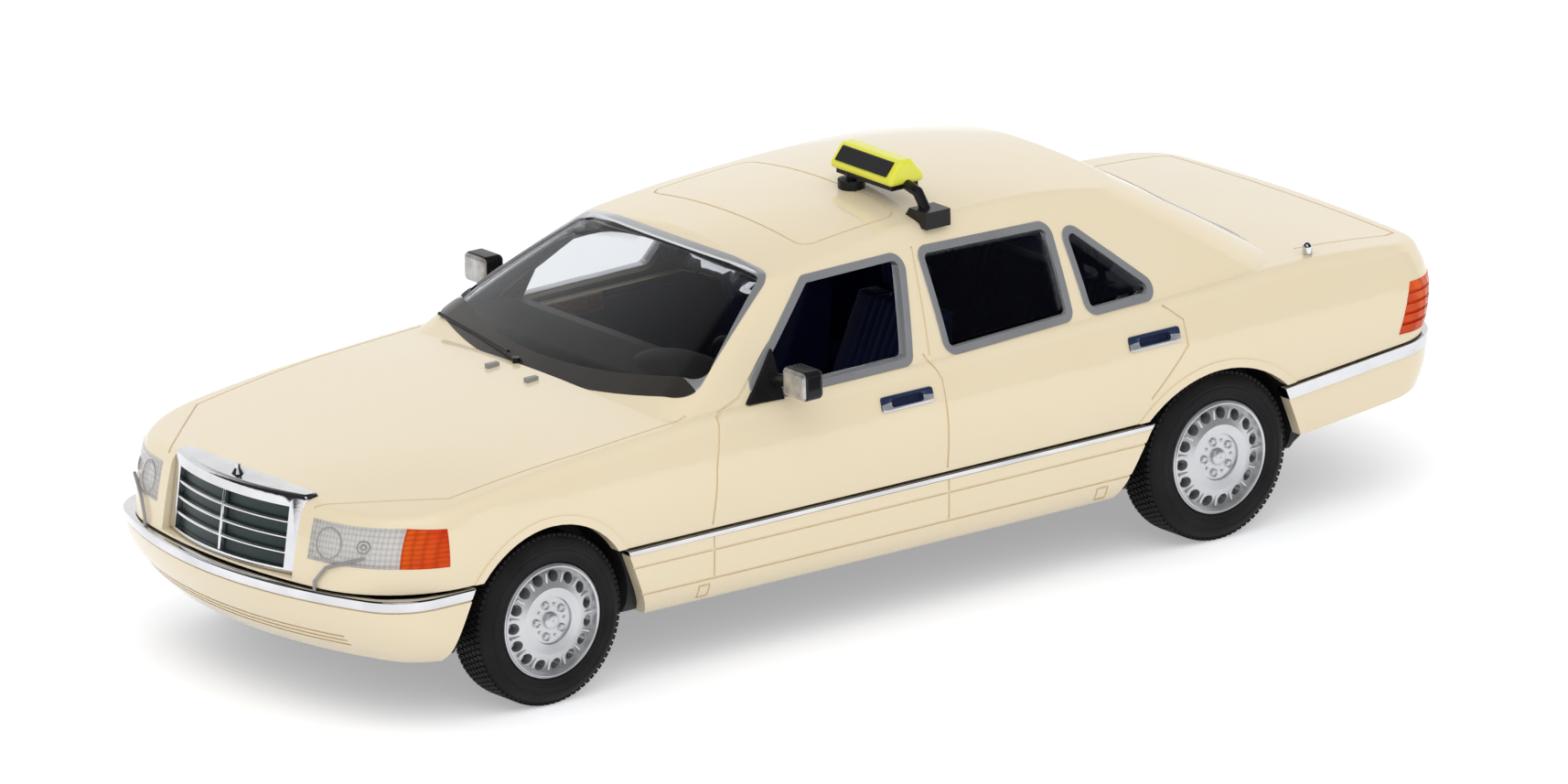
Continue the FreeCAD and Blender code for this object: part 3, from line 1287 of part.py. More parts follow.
def mirror_left():
    """Outside mirror: a corner panel on the window's front corner, an arm and a rounded head."""
    x, z = px(MIRROR_HEAD_SHARES[0]), pz(MIRROR_HEAD_SHARES[1])
    panel = cabin(-MIRROR_BASE_STAND).cut(cabin(WALL)).common(
        prism(side_points(MIRROR_BASE_SHARES), "side", 0, WIDTH))
    head_y = MIRROR_REACH - MIRROR_HEAD_WIDTH
    head = block(x - MIRROR_HEAD_DEPTH / 2, x + MIRROR_HEAD_DEPTH / 2, head_y, MIRROR_REACH,
                 z - MIRROR_HEAD_HEIGHT / 2, z + MIRROR_HEAD_HEIGHT / 2)
    head = softened(head, MIRROR_EDGE)
    root = Vector(x, head_y - MIRROR_ARM_REACH, z - MIRROR_HEAD_HEIGHT / 4)
    arm = rod(root, Vector(x, MIRROR_REACH - MIRROR_HEAD_WIDTH / 2, z), MIRROR_ARM_DIAMETER)
    return panel.fuse([head, arm])


def windscreen_wiper():
    """The single wiper parked along the foot of the windscreen, a little above it."""
    skin = cabin(0).fuse(lower_body(0))
    spots = []
    for x_share, y_share in WIPER_SHARES:
        x, y = px(x_share), py(y_share)
        spots.append(Vector(x, y, height_over(skin, x, y) + WIPER_STAND))
    foot, first, last = spots
    middle = (first + last) * 0.5
    wiper = rod(first, last, WIPER_DIAMETER).fuse(rod(foot, middle, WIPER_DIAMETER))
    low = foot - Vector(0, 0, WIPER_STAND)
    wiper = wiper.fuse(rod(low, foot + Vector(0, 0, WIPER_DIAMETER / 2), WIPER_DIAMETER * 2))
    return wiper.cut([cabin(-FRAME_STAND), lower_body(0)])


def lamp_wipers():
    """A bent arm in front of each headlamp, standing on the bumper's strip."""
    over = lower_body(-LAMP_WIPER_DIAMETER)
    spots = []
    for y_share, z_share in LAMP_WIPER_SHARES:
        y, z = py(y_share), pz(z_share)
        spots.append(Vector(front_over(over, y, z), y, z))
    foot = Vector(spots[0].x, spots[0].y, SPLIT_HEIGHT - SPLIT_GAP)
    spots = [foot] + spots
    arms = [rod(a, b, LAMP_WIPER_DIAMETER) for a, b in zip(spots, spots[1:])]
    joints = [Part.makeSphere(LAMP_WIPER_DIAMETER / 2, spot) for spot in spots[1:]]
    arm = arms[0].fuse(arms[1:] + joints).cut(lower_body(-LAMP_STAND))
    return arm.common(block(0, LENGTH, 0, WIDTH, SPLIT_HEIGHT - SPLIT_GAP, HEIGHT))


def washer_nozzles():
    deck = lower_body(0)
    x = px(NOZZLE_SHARE)
    pieces = []
    for side in (1, -1):
        y = NOZZLE_OFFSET * side
        z = height_over(deck, x, y)
        nozzle = block(x - NOZZLE_LENGTH / 2, x + NOZZLE_LENGTH / 2,
                       y - NOZZLE_WIDTH / 2, y + NOZZLE_WIDTH / 2, z - WALL / 2, z + NOZZLE_HEIGHT)
        pieces.append(nozzle.cut(deck))
    return pieces


def antenna_knob():
    deck = lower_body(0)
    x, y = px(ANTENNA_SHARES[0]), py(ANTENNA_SHARES[1])
    z = height_over(deck, x, y)
    knob = Part.makeCylinder(ANTENNA_DIAMETER / 2, WALL + ANTENNA_HEIGHT, Vector(x, y, z - WALL))
    knob = knob.fuse(Part.makeSphere(ANTENNA_DIAMETER / 2, Vector(x, y, z + ANTENNA_HEIGHT)))
    return knob.cut(deck)


def bonnet_ornament():
    """A plain round foot and stud on the grille's top."""
    x = LENGTH / 2 - GRILLE_SETBACK - GRILLE_RAKE - ORNAMENT_BASE_DIAMETER
    foot = Part.makeCone(ORNAMENT_BASE_DIAMETER / 2, ORNAMENT_STUD_DIAMETER / 2, ORNAMENT_BASE_HEIGHT,
                         Vector(x, 0, GRILLE_TOP))
    stud_low = Vector(x, 0, GRILLE_TOP + ORNAMENT_BASE_HEIGHT / 2)
    return foot.fuse(Part.makeCylinder(ORNAMENT_STUD_DIAMETER / 2, ORNAMENT_STUD_HEIGHT, stud_low))


def rear_plate():
    half = PLATE_WIDTH / 2
    low, high = PLATE_MIDDLE - PLATE_HEIGHT / 2, PLATE_MIDDLE + PLATE_HEIGHT / 2
    band = lower_body(-PLATE_THICKNESS).cut(lower_body(0))
    outline = [(-half, low), (half, low), (half, high), (-half, high)]
    return band.common(prism(outline, "front", -LENGTH, 0, HANDLE_CORNER))


# Taxi sign on the left half of the roof

def sign_outline(grow):
    """The sign's cross-section, seen from its end: an upright band with leaning faces above it."""
    x, z = px(SIGN_PLACE_SHARES[0]), pz(SIGN_PLACE_SHARES[2])
    foot, top = SIGN_FOOT_THICKNESS / 2, SIGN_TOP_THICKNESS / 2
    low, high = z - SIGN_HEIGHT / 2, z + SIGN_HEIGHT / 2
    outline = [(x - foot, low), (x + foot, low), (x + foot, low + SIGN_BAND),
               (x + top, high), (x - top, high), (x - foot, low + SIGN_BAND)]
    return grown(outline, grow)


def taxi_sign():
    y = py(SIGN_PLACE_SHARES[1])
    housing = prism(sign_outline(0), "side", y - SIGN_LENGTH / 2, y + SIGN_LENGTH / 2)
    return softened(housing, SIGN_EDGE)


def sign_panels():
    """The blank dark panels let on to the sign's two long faces."""
    y = py(SIGN_PLACE_SHARES[1])
    z = pz(SIGN_PLACE_SHARES[2])
    reach = SIGN_LENGTH / 2 - SIGN_PANEL_MARGIN
    band = prism(sign_outline(SIGN_PANEL_THICKNESS), "side", y - reach, y + reach)
    band = band.cut(prism(sign_outline(0), "side", y - reach - WALL, y + reach + WALL))
    low = z - SIGN_HEIGHT / 2 + SIGN_BAND + SIGN_PANEL_EDGE
    high = z + SIGN_HEIGHT / 2 - SIGN_PANEL_EDGE
    return band.common(block(-LENGTH, LENGTH, -WIDTH, WIDTH, low, high)).Solids


def sign_bracket():
    """A round foot under the sign, a bar below it, and a bent arm to a clamp by the roof's edge."""
    roof = cabin(0)
    x, y, z = px(SIGN_PLACE_SHARES[0]), py(SIGN_PLACE_SHARES[1]), pz(SIGN_PLACE_SHARES[2])
    under = z - SIGN_HEIGHT / 2
    foot_x, foot_y = px(SIGN_FOOT_SHARES[0]), py(SIGN_FOOT_SHARES[1])
    foot_z = height_over(roof, foot_x, foot_y)
    low = Vector(foot_x, foot_y, foot_z - WALL)
    foot = Part.makeCylinder(SIGN_FOOT_DIAMETER / 2, SIGN_FOOT_HEIGHT + WALL, low)
    stem = rod(Vector(foot_x, foot_y, foot_z), Vector(foot_x, foot_y, under), SIGN_STEM_DIAMETER)
    end_y = y + SIGN_LENGTH / 2
    half = SIGN_BAR_WIDTH / 2
    bar = block(x - half, x + half, y - SIGN_LENGTH / 2 + SIGN_EDGE, end_y - SIGN_EDGE,
                under - SIGN_BAR_THICKNESS, under)
    clamp_x, clamp_y = px(CLAMP_SHARES[0]), py(CLAMP_SHARES[1])
    clamp_z = height_over(roof, clamp_x, clamp_y)
    half = CLAMP_WIDTH / 2
    top = clamp_z + CLAMP_HEIGHT
    outline = [(clamp_y - half, top), (clamp_y - CLAMP_WIDTH, clamp_z - CLAMP_DROP),
               (clamp_y + half, clamp_z - CLAMP_DROP), (clamp_y + half, top)]
    clamp = prism(outline, "front", clamp_x - CLAMP_LENGTH / 2, clamp_x + CLAMP_LENGTH / 2)
    elbow = Vector(x, end_y + SIGN_ELBOW_REACH, under - SIGN_ELBOW_DROP)
    arm_start = Vector(x, end_y - SIGN_EDGE - SIGN_ARM_DIAMETER, under + SIGN_ARM_DIAMETER / 4)
    arm = [rod(arm_start, elbow, SIGN_ARM_DIAMETER), Part.makeSphere(SIGN_ARM_DIAMETER / 2, elbow),
           rod(elbow, Vector(clamp_x, clamp_y, clamp_z), SIGN_ARM_DIAMETER)]
    solid = foot.fuse([stem, bar, clamp] + arm)
    return solid.cut([roof, prism(sign_outline(0), "side", y - SIGN_LENGTH / 2, y + SIGN_LENGTH / 2)])


# Assembly

def all_pieces():
    pieces = {}
    wall_band = cabin(-FRAME_STAND).cut(cabin(WALL))
    glass = glass_band()
    mirror = mirror_left()
    corner_panel = prism(side_points(MIRROR_BASE_SHARES), "side", 0, WIDTH)
    frames = [ring.cut(corner_panel) for ring in side_frames(wall_band)]
    panes = side_glass(glass)
    pieces["side_frames_left"] = frames
    pieces["side_frames_right"] = [mirrored(frame) for frame in frames]
    pieces["side_glass_left"] = panes
    pieces["side_glass_right"] = [mirrored(pane) for pane in panes]
    pieces["mirror_left"] = mirror
    pieces["mirror_right"] = mirrored(mirror)
    deck = lower_body(0)
    ring = screen_frame(wall_band, WINDSCREEN_SHARES).cut(deck)
    split = px(COWL_START_SHARE)
    pieces["windscreen_frame"] = ring.common(block(-LENGTH, split, -WIDTH, WIDTH, 0, 2 * HEIGHT))
    pieces["windscreen_seal"] = ring.common(block(split, LENGTH, -WIDTH, WIDTH, 0, 2 * HEIGHT))
    pieces["windscreen"] = screen_glass(glass, WINDSCREEN_SHARES).cut(lower_body(-GLASS_CLEARANCE))
    pieces["rear_window_frame"] = screen_frame(wall_band, REAR_SCREEN_SHARES).cut(deck)
    pieces["rear_window"] = screen_glass(glass, REAR_SCREEN_SHARES).cut(deck)
    lamp_band = lower_body(-LAMP_STAND).cut(lower_body(LAMP_DEPTH))
    lamps = {"headlamp": lamp_band.common(headlamp_prism()), "turn_signal": lamp_band.common(signal_prism()),
             "tail_lamp": tail_lamp(lamp_band)}
    for name, lamp in lamps.items():
        pieces[name + "_left"] = lamp
        pieces[name + "_right"] = mirrored(lamp)
    pieces["grille_shell"] = grille_shell()
    pieces["grille_insert"] = grille_insert()
    pieces["grille_slats"] = grille_slats()
    pieces["bonnet_ornament"] = bonnet_ornament()
    handles = [handle_prism(place, HANDLE_LENGTH, HANDLE_HEIGHT, HANDLE_CORNER) for place in handle_places()]
    fitted = [headlamp_prism(), signal_prism(), tail_lamp_prism(), grille_envelope(GRILLE_POCKET)]
    fitted += [corner_panel] + handles
    pieces["body_shell"] = body_shell(fitted)
    pieces["door_handles"] = door_handles()
    pieces.update(skirt_pieces())
    pieces["base_plate"] = base_plate()
    pieces["base_screws"] = base_screws()
    pieces["exhaust_pipe"] = exhaust().cut(pieces["base_plate"])
    pieces.update(wheel_pieces())
    pieces["interior_tub"] = interior_tub()
    offset = SEAT_SPACING / 2
    outlines = (FRONT_CUSHION_SHARES, FRONT_BACK_SHARES)
    seat = seat_solid(outlines, FRONT_HEADREST_SHARES, offset, SEAT_WIDTH, [0])
    pieces["front_seat_left"] = seat
    pieces["front_seat_right"] = mirrored(seat)
    bench = 2 * (tub_tail_half_width() - TUB_WALL - TUB_CLEARANCE)
    outlines = (REAR_CUSHION_SHARES, REAR_BACK_SHARES)
    pieces["rear_bench"] = seat_solid(outlines, REAR_HEADREST_SHARES, 0, bench, [-offset, offset])
    pieces["dashboard"] = dashboard()
    pieces["steering_wheel"] = steering_wheel().cut(dashboard())
    pieces["room_mirror"] = room_mirror()
    pieces["windscreen_wiper"] = windscreen_wiper()
    wiper = lamp_wipers()
    pieces["headlamp_wipers"] = [wiper, mirrored(wiper)]
    pieces["washer_nozzles"] = washer_nozzles()
    pieces["antenna_knob"] = antenna_knob()
    pieces["rear_plate"] = rear_plate()
    pieces["taxi_sign"] = taxi_sign()
    pieces["sign_panels"] = sign_panels()
    pieces["sign_bracket"] = sign_bracket()
    return pieces


def write_pieces():
    os.makedirs("parts", exist_ok=True)
    for name, piece in all_pieces().items():
        shape = Part.makeCompound(piece) if isinstance(piece, list) else piece
        if len(shape.Solids) == 1:
            shape = shape.Solids[0]
        shape.exportStep("parts/" + name + ".step")
        print(name, len(shape.Solids), shape.isValid(), round(shape.Volume, 3))


write_pieces()
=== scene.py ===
import json
import math

import bmesh
import bpy
from mathutils import Matrix, Vector


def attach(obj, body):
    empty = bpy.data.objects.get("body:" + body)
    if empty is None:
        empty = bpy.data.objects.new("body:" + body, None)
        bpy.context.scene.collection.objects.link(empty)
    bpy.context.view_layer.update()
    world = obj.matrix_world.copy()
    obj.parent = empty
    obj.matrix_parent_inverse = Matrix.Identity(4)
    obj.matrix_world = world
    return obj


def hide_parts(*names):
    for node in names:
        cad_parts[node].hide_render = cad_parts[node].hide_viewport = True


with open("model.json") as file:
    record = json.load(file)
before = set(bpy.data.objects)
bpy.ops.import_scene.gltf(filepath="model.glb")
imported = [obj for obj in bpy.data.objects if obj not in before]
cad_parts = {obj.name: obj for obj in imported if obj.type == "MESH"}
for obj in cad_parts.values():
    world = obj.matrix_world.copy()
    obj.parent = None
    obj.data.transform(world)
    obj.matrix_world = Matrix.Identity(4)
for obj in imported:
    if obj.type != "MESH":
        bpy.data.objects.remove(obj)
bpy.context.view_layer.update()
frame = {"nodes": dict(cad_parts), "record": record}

MM = 0.001
NODES = frame["nodes"]
SCENE = bpy.context.scene
HANDS = (("left", 1), ("right", -1))

# Wheels, in millimetres, as the frame gives them
WHEEL_Z = 7.52
AXLES = {"front": 39.4, "rear": -32.0}
FACE_Y = 20.8
TYRE_WIDTH = 4.8
TYRE_RADIUS = 7.52
RIM_RADIUS = 5.0

# The camera's place: turns in radians from the front of the car, lengths in millimetres
CAMERA_TURN = 0.933431
CAMERA_RISE = 0.293894
CAMERA_ROLL = -0.025086
CAMERA_DISTANCE = 2284.658
CAMERA_AIM = (-0.8572, 0, 14.9471)
PIXELS_PER_MM = 12.72621
PICTURE_WIDTH_PIXELS = 1714

# Values of paint, plastic and studio
COAT_ROUGHNESS = 0.05
PLASTIC_INDEX = 1.46
SEEN_THROUGH_SHARE = 0.9
DARK_TONE = 0.03

# Angles in degrees: for smooth shading, for edges that are rounded off, for faces as good as flat
SMOOTH_ANGLE = 32
EDGE_ANGLE = 38
FLAT_ANGLE = 0.8

# Vertices closer than this, in metres, are one
JOIN = 1e-7


# Materials

def socket_in(tree, name, kind, value):
    item = tree.interface.new_socket(name=name, in_out="INPUT", socket_type=kind)
    item.default_value = value


def node_of(tree, kind, **values):
    node = tree.nodes.new(kind)
    for key, value in values.items():
        setattr(node, key, value)
    return node


def maths(tree, operation, *parts):
    node = node_of(tree, "ShaderNodeMath", operation=operation)
    for i, part in enumerate(parts):
        if isinstance(part, (int, float)):
            node.inputs[i].default_value = part
        else:
            tree.links.new(part, node.inputs[i])
    return node.outputs[0]


def mixed(tree, factor, first, second):
    """The first colour where the factor is 0 and the second where it is 1."""
    mix = node_of(tree, "ShaderNodeMix", data_type="RGBA")
    tree.links.new(factor, mix.inputs["Factor"])
    for i, colour in ((6, first), (7, second)):
        if isinstance(colour, tuple):
            mix.inputs[i].default_value = (*colour, 1)
        else:
            tree.links.new(colour, mix.inputs[i])
    return mix.outputs[2]


def relief_of(tree, height, depth, under=None):
    """A normal from a pattern's height, on top of another normal if one is given."""
    bump = node_of(tree, "ShaderNodeBump")
    bump.inputs["Distance"].default_value = depth * MM
    tree.links.new(height, bump.inputs["Height"])
    if under is not None:
        tree.links.new(under, bump.inputs["Normal"])
    return bump.outputs["Normal"]


def build_fine_finish():
    """Small changes of tone and gloss with a fine relief, as on paint, plastic and plated parts."""
    tree = bpy.data.node_groups.new("fine_finish", "ShaderNodeTree")
    socket_in(tree, "Colour", "NodeSocketColor", (0.8, 0.8, 0.8, 1))
    socket_in(tree, "Second Colour", "NodeSocketColor", (0.7, 0.7, 0.7, 1))
    socket_in(tree, "Grain per Metre", "NodeSocketFloat", 2000.0)
    socket_in(tree, "Cloud per Metre", "NodeSocketFloat", 60.0)
    socket_in(tree, "Roughness", "NodeSocketFloat", 0.4)
    socket_in(tree, "Roughness Spread", "NodeSocketFloat", 0.1)
    for name, kind in (("Colour", "NodeSocketColor"), ("Roughness", "NodeSocketFloat"),
                       ("Height", "NodeSocketFloat")):
        tree.interface.new_socket(name=name, in_out="OUTPUT", socket_type=kind)
    start = node_of(tree, "NodeGroupInput")
    end = node_of(tree, "NodeGroupOutput")
    place = node_of(tree, "ShaderNodeTexCoord")
    grain = node_of(tree, "ShaderNodeTexNoise")
    grain.inputs["Detail"].default_value = 3.0
    cloud = node_of(tree, "ShaderNodeTexNoise")
    cloud.inputs["Detail"].default_value = 4.0
    for texture, size in ((grain, "Grain per Metre"), (cloud, "Cloud per Metre")):
        tree.links.new(place.outputs["Object"], texture.inputs["Vector"])
        tree.links.new(start.outputs[size], texture.inputs["Scale"])
    tone = node_of(tree, "ShaderNodeMapRange")
    tone.inputs["From Min"].default_value = 0.35
    tone.inputs["From Max"].default_value = 0.65
    tree.links.new(cloud.outputs["Fac"], tone.inputs["Value"])
    colour = mixed(tree, tone.outputs["Result"], start.outputs["Colour"], start.outputs["Second Colour"])
    spread = maths(tree, "SUBTRACT", grain.outputs["Fac"], 0.5)
    gloss = maths(tree, "MULTIPLY_ADD", spread, start.outputs["Roughness Spread"],
                  start.outputs["Roughness"])
    tree.links.new(colour, end.inputs["Colour"])
    tree.links.new(gloss, end.inputs["Roughness"])
    tree.links.new(grain.outputs["Fac"], end.inputs["Height"])
    return tree


FINE_FINISH = build_fine_finish()


def new_material(name):
    material = bpy.data.materials.new(name)
    material.use_nodes = True
    tree = material.node_tree
    tree.nodes.clear()
    return material, tree, node_of(tree, "ShaderNodeOutputMaterial")


def shaded_material(name):
    material, tree, out = new_material(name)
    shader = node_of(tree, "ShaderNodeBsdfPrincipled")
    tree.links.new(shader.outputs["BSDF"], out.inputs["Surface"])
    return material, tree, shader, out


def put_finish(tree, shader, colour, second, grain, cloud, roughness, spread, relief):
    group = node_of(tree, "ShaderNodeGroup")
    group.node_tree = FINE_FINISH
    group.inputs["Colour"].default_value = (*colour, 1)
    group.inputs["Second Colour"].default_value = (*second, 1)
    group.inputs["Grain per Metre"].default_value = grain
    group.inputs["Cloud per Metre"].default_value = cloud
    group.inputs["Roughness"].default_value = roughness
    group.inputs["Roughness Spread"].default_value = spread
    tree.links.new(group.outputs["Colour"], shader.inputs["Base Color"])
    tree.links.new(group.outputs["Roughness"], shader.inputs["Roughness"])
    if relief:
        tree.links.new(relief_of(tree, group.outputs["Height"], relief), shader.inputs["Normal"])
    return group


def solid_finish(name, colour, second, roughness, spread, grain, cloud, relief, metallic=0.0, coat=0.0,
                 specular=0.5):
    material, tree, shader, _ = shaded_material(name)
    put_finish(tree, shader, colour, second, grain, cloud, roughness, spread, relief)
    shader.inputs["Metallic"].default_value = metallic
    shader.inputs["Coat Weight"].default_value = coat
    shader.inputs["Coat Roughness"].default_value = COAT_ROUGHNESS
    shader.inputs["Specular IOR Level"].default_value = specular
    return material


def wave_lines(tree, axis, pitch):
    """Straight ribs across one axis, a given number of millimetres apart."""
    place = node_of(tree, "ShaderNodeTexCoord")
    radians_per_unit = 20
    lines = node_of(tree, "ShaderNodeTexWave", wave_type="BANDS", bands_direction=axis)
    lines.inputs["Scale"].default_value = 2 * math.pi / (radians_per_unit * pitch * MM)
    tree.links.new(place.outputs["Object"], lines.inputs["Vector"])
    return lines


def clear_finish(name, tint, second, roughness, ribs=(), relief=0.05, clear=1.0, specular=0.5):
    """Clear plastic, ribbed or plain, with painted shade as dark lines along the ribs; light reaches what
    lies behind it.
    """
    groove_tone, groove_share, groove_sharpness = 0.55, 0.45, 3.0
    material, tree, shader, out = shaded_material(name)
    group = put_finish(tree, shader, tint, second, grain=900.0, cloud=120.0, roughness=roughness,
                       spread=0.02, relief=0)
    shader.inputs["Transmission Weight"].default_value = clear
    shader.inputs["IOR"].default_value = PLASTIC_INDEX
    shader.inputs["Specular IOR Level"].default_value = specular
    normal = None
    tone = group.outputs["Colour"]
    painted_groove_shade = tuple(groove_tone * part for part in second)
    # Painted shade: each rib pattern darkens the tint in lines, towards a darker copy of the second tint
    for axis, pitch in ribs:
        height = wave_lines(tree, axis, pitch).outputs["Fac"]
        shade = maths(tree, "MULTIPLY", maths(tree, "POWER", height, groove_sharpness), groove_share)
        tone = mixed(tree, shade, tone, painted_groove_shade)
        normal = relief_of(tree, height, relief, normal)
    if normal is not None:
        tree.links.new(tone, shader.inputs["Base Color"])
        tree.links.new(normal, shader.inputs["Normal"])
    path = node_of(tree, "ShaderNodeLightPath")
    through = node_of(tree, "ShaderNodeBsdfTransparent")
    through.inputs["Color"].default_value = (*[SEEN_THROUGH_SHARE * part for part in tint], 1)
    mix = node_of(tree, "ShaderNodeMixShader")
    either = maths(tree, "MAXIMUM", path.outputs["Is Shadow Ray"], path.outputs["Is Diffuse Ray"])
    tree.links.new(either, mix.inputs["Fac"])
    tree.links.new(shader.outputs["BSDF"], mix.inputs[1])
    tree.links.new(through.outputs["BSDF"], mix.inputs[2])
    tree.links.new(mix.outputs["Shader"], out.inputs["Surface"])
    return material


def wood_finish(name):
    """Brown wood with its grain along the car's width."""
    material, tree, shader, _ = shaded_material(name)
    place = node_of(tree, "ShaderNodeTexCoord")
    turn = node_of(tree, "ShaderNodeMapping")
    turn.inputs["Scale"].default_value = (1.0, 0.12, 1.0)
    grain = node_of(tree, "ShaderNodeTexNoise")
    grain.inputs["Scale"].default_value = 2600.0
    grain.inputs["Detail"].default_value = 6.0
    grain.inputs["Distortion"].default_value = 1.2
    ramp = node_of(tree, "ShaderNodeValToRGB")
    dark, light = ramp.color_ramp.elements
    dark.position = 0.35
    dark.color = (0.055, 0.016, 0.006, 1)
    light.position = 0.68
    light.color = (0.26, 0.085, 0.028, 1)
    tree.links.new(place.outputs["Object"], turn.inputs["Vector"])
    tree.links.new(turn.outputs["Vector"], grain.inputs["Vector"])
    tree.links.new(grain.outputs["Fac"], ramp.inputs["Fac"])
    tree.links.new(ramp.outputs["Color"], shader.inputs["Base Color"])
    shader.inputs["Roughness"].default_value = 0.3
    shader.inputs["Coat Weight"].default_value = 0.5
    return material


def brushed_finish(name, colour, second):
    """Turned or drawn metal with fine lines along the car's width."""
    material, tree, shader, _ = shaded_material(name)
    put_finish(tree, shader, colour, second, grain=3000.0, cloud=90.0, roughness=0.32, spread=0.12,
               relief=0)
    shader.inputs["Metallic"].default_value = 1.0
    lines = wave_lines(tree, "X", 0.09)
    lines.inputs["Distortion"].default_value = 3.0
    tree.links.new(relief_of(tree, lines.outputs["Fac"], 0.004), shader.inputs["Normal"])
    return material


# Grain and cloud are counts per metre, and relief is a depth in millimetres
SOLID_LOOKS = {
    "ivory_paint": dict(colour=(0.875, 0.745, 0.515), second=(0.86, 0.73, 0.50), roughness=0.36,
                        spread=0.06, grain=1500.0, cloud=45.0, relief=0.004, coat=0.8, specular=0.4),
    "chrome_trim": dict(colour=(0.74, 0.74, 0.75), second=(0.62, 0.62, 0.635), roughness=0.10,
                        spread=0.08, grain=1800.0, cloud=200.0, relief=0.006, metallic=1.0),
    "silver_trim": dict(colour=(0.72, 0.725, 0.74), second=(0.64, 0.645, 0.66), roughness=0.24,
                        spread=0.06, grain=5000.0, cloud=150.0, relief=0, metallic=0.7),
    "rim_silver": dict(colour=(0.66, 0.665, 0.68), second=(0.60, 0.605, 0.62), roughness=0.34,
                       spread=0.2, grain=6500.0, cloud=250.0, relief=0.01, metallic=0.75, coat=0.3),
    "tyre_rubber": dict(colour=(0.010, 0.010, 0.011), second=(0.016, 0.016, 0.016), roughness=0.6,
                        spread=0.15, grain=4500.0, cloud=300.0, relief=0.02, specular=0.15),
    "base_plastic": dict(colour=(0.014, 0.014, 0.015), second=(0.02, 0.02, 0.021), roughness=0.5,
                         spread=0.12, grain=3500.0, cloud=120.0, relief=0.025, specular=0.25),
    "trim_black": dict(colour=(0.009, 0.009, 0.010), second=(0.014, 0.014, 0.015), roughness=0.28,
                       spread=0.08, grain=2600.0, cloud=160.0, relief=0.004, coat=0.15, specular=0.15),
    "interior_blue": dict(colour=(0.005, 0.009, 0.045), second=(0.008, 0.013, 0.06), roughness=0.5,
                          spread=0.12, grain=4200.0, cloud=200.0, relief=0.02, specular=0.08),
    "dash_grey": dict(colour=(0.040, 0.034, 0.030), second=(0.052, 0.045, 0.040), roughness=0.55,
                      spread=0.12, grain=4200.0, cloud=200.0, relief=0.02, specular=0.2),
    "grille_dark": dict(colour=(0.012, 0.030, 0.027), second=(0.016, 0.038, 0.034), roughness=0.42,
                        spread=0.1, grain=3600.0, cloud=200.0, relief=0.015),
    "grey_plastic": dict(colour=(0.27, 0.27, 0.26), second=(0.33, 0.33, 0.32), roughness=0.4,
                         spread=0.1, grain=3600.0, cloud=200.0, relief=0.01),
    "plate_white": dict(colour=(0.80, 0.80, 0.78), second=(0.76, 0.76, 0.74), roughness=0.35,
                        spread=0.08, grain=2600.0, cloud=90.0, relief=0.006, coat=0.3),
    "sign_yellow": dict(colour=(0.86, 0.84, 0.06), second=(0.82, 0.80, 0.05), roughness=0.30,
                        spread=0.08, grain=2200.0, cloud=90.0, relief=0.006, coat=0.4),
    "lamp_silver": dict(colour=(0.86, 0.86, 0.86), second=(0.80, 0.80, 0.80), roughness=0.35,
                        spread=0.1, grain=3000.0, cloud=400.0, relief=0.01, metallic=0.35),
    "lens_mark": dict(colour=(0.42, 0.40, 0.38), second=(0.36, 0.34, 0.32), roughness=0.3,
                      spread=0.1, grain=3000.0, cloud=400.0, relief=0.01, metallic=0.3),
    "mirror_silver": dict(colour=(0.58, 0.57, 0.55), second=(0.38, 0.37, 0.36), roughness=0.38,
                          spread=0.3, grain=4200.0, cloud=900.0, relief=0.03, metallic=0.7),
    # Painted shade for the hollow behind each door handle's flap
    "handle_hollow": dict(colour=(0.02, 0.035, 0.09), second=(0.03, 0.045, 0.11), roughness=0.2,
                          spread=0.1, grain=3000.0, cloud=300.0, relief=0.01, metallic=0.2, coat=0.5),
    "cowl_brown": dict(colour=(0.030, 0.026, 0.022), second=(0.038, 0.033, 0.028), roughness=0.3,
                       spread=0.1, grain=3000.0, cloud=200.0, relief=0.004, coat=0.3),
}
# For ribbed lenses, the second tint also sets the painted shade along the ribs
CLEAR_LOOKS = {
    "clear_glazing": dict(tint=(0.74, 0.76, 0.78), second=(0.72, 0.74, 0.76), roughness=0.02,
                          specular=0.3),
    "lamp_clear": dict(tint=(0.92, 0.90, 0.87), second=(0.86, 0.84, 0.81), roughness=0.06,
                       ribs=(("Y", 0.34), ("Z", 0.5)), relief=0.05, clear=0.5),
    "lamp_amber": dict(tint=(1.0, 0.20, 0.008), second=(0.80, 0.06, 0.005), roughness=0.10,
                       ribs=(("Z", 0.42), ("Y", 0.5)), relief=0.08, clear=0.15, specular=0.12),
    "lamp_red": dict(tint=(0.88, 0.15, 0.02), second=(0.75, 0.07, 0.01), roughness=0.12,
                     ribs=(("Y", 0.5),), relief=0.03, clear=0.2, specular=0.15),
}
FINISHES = {name: solid_finish(name, **look) for name, look in SOLID_LOOKS.items()}
for name, look in CLEAR_LOOKS.items():
    FINISHES[name] = clear_finish(name, **look)
FINISHES["axle_steel"] = brushed_finish("axle_steel", (0.52, 0.53, 0.55), (0.42, 0.43, 0.45))
FINISHES["wood_trim"] = wood_finish("wood_trim")


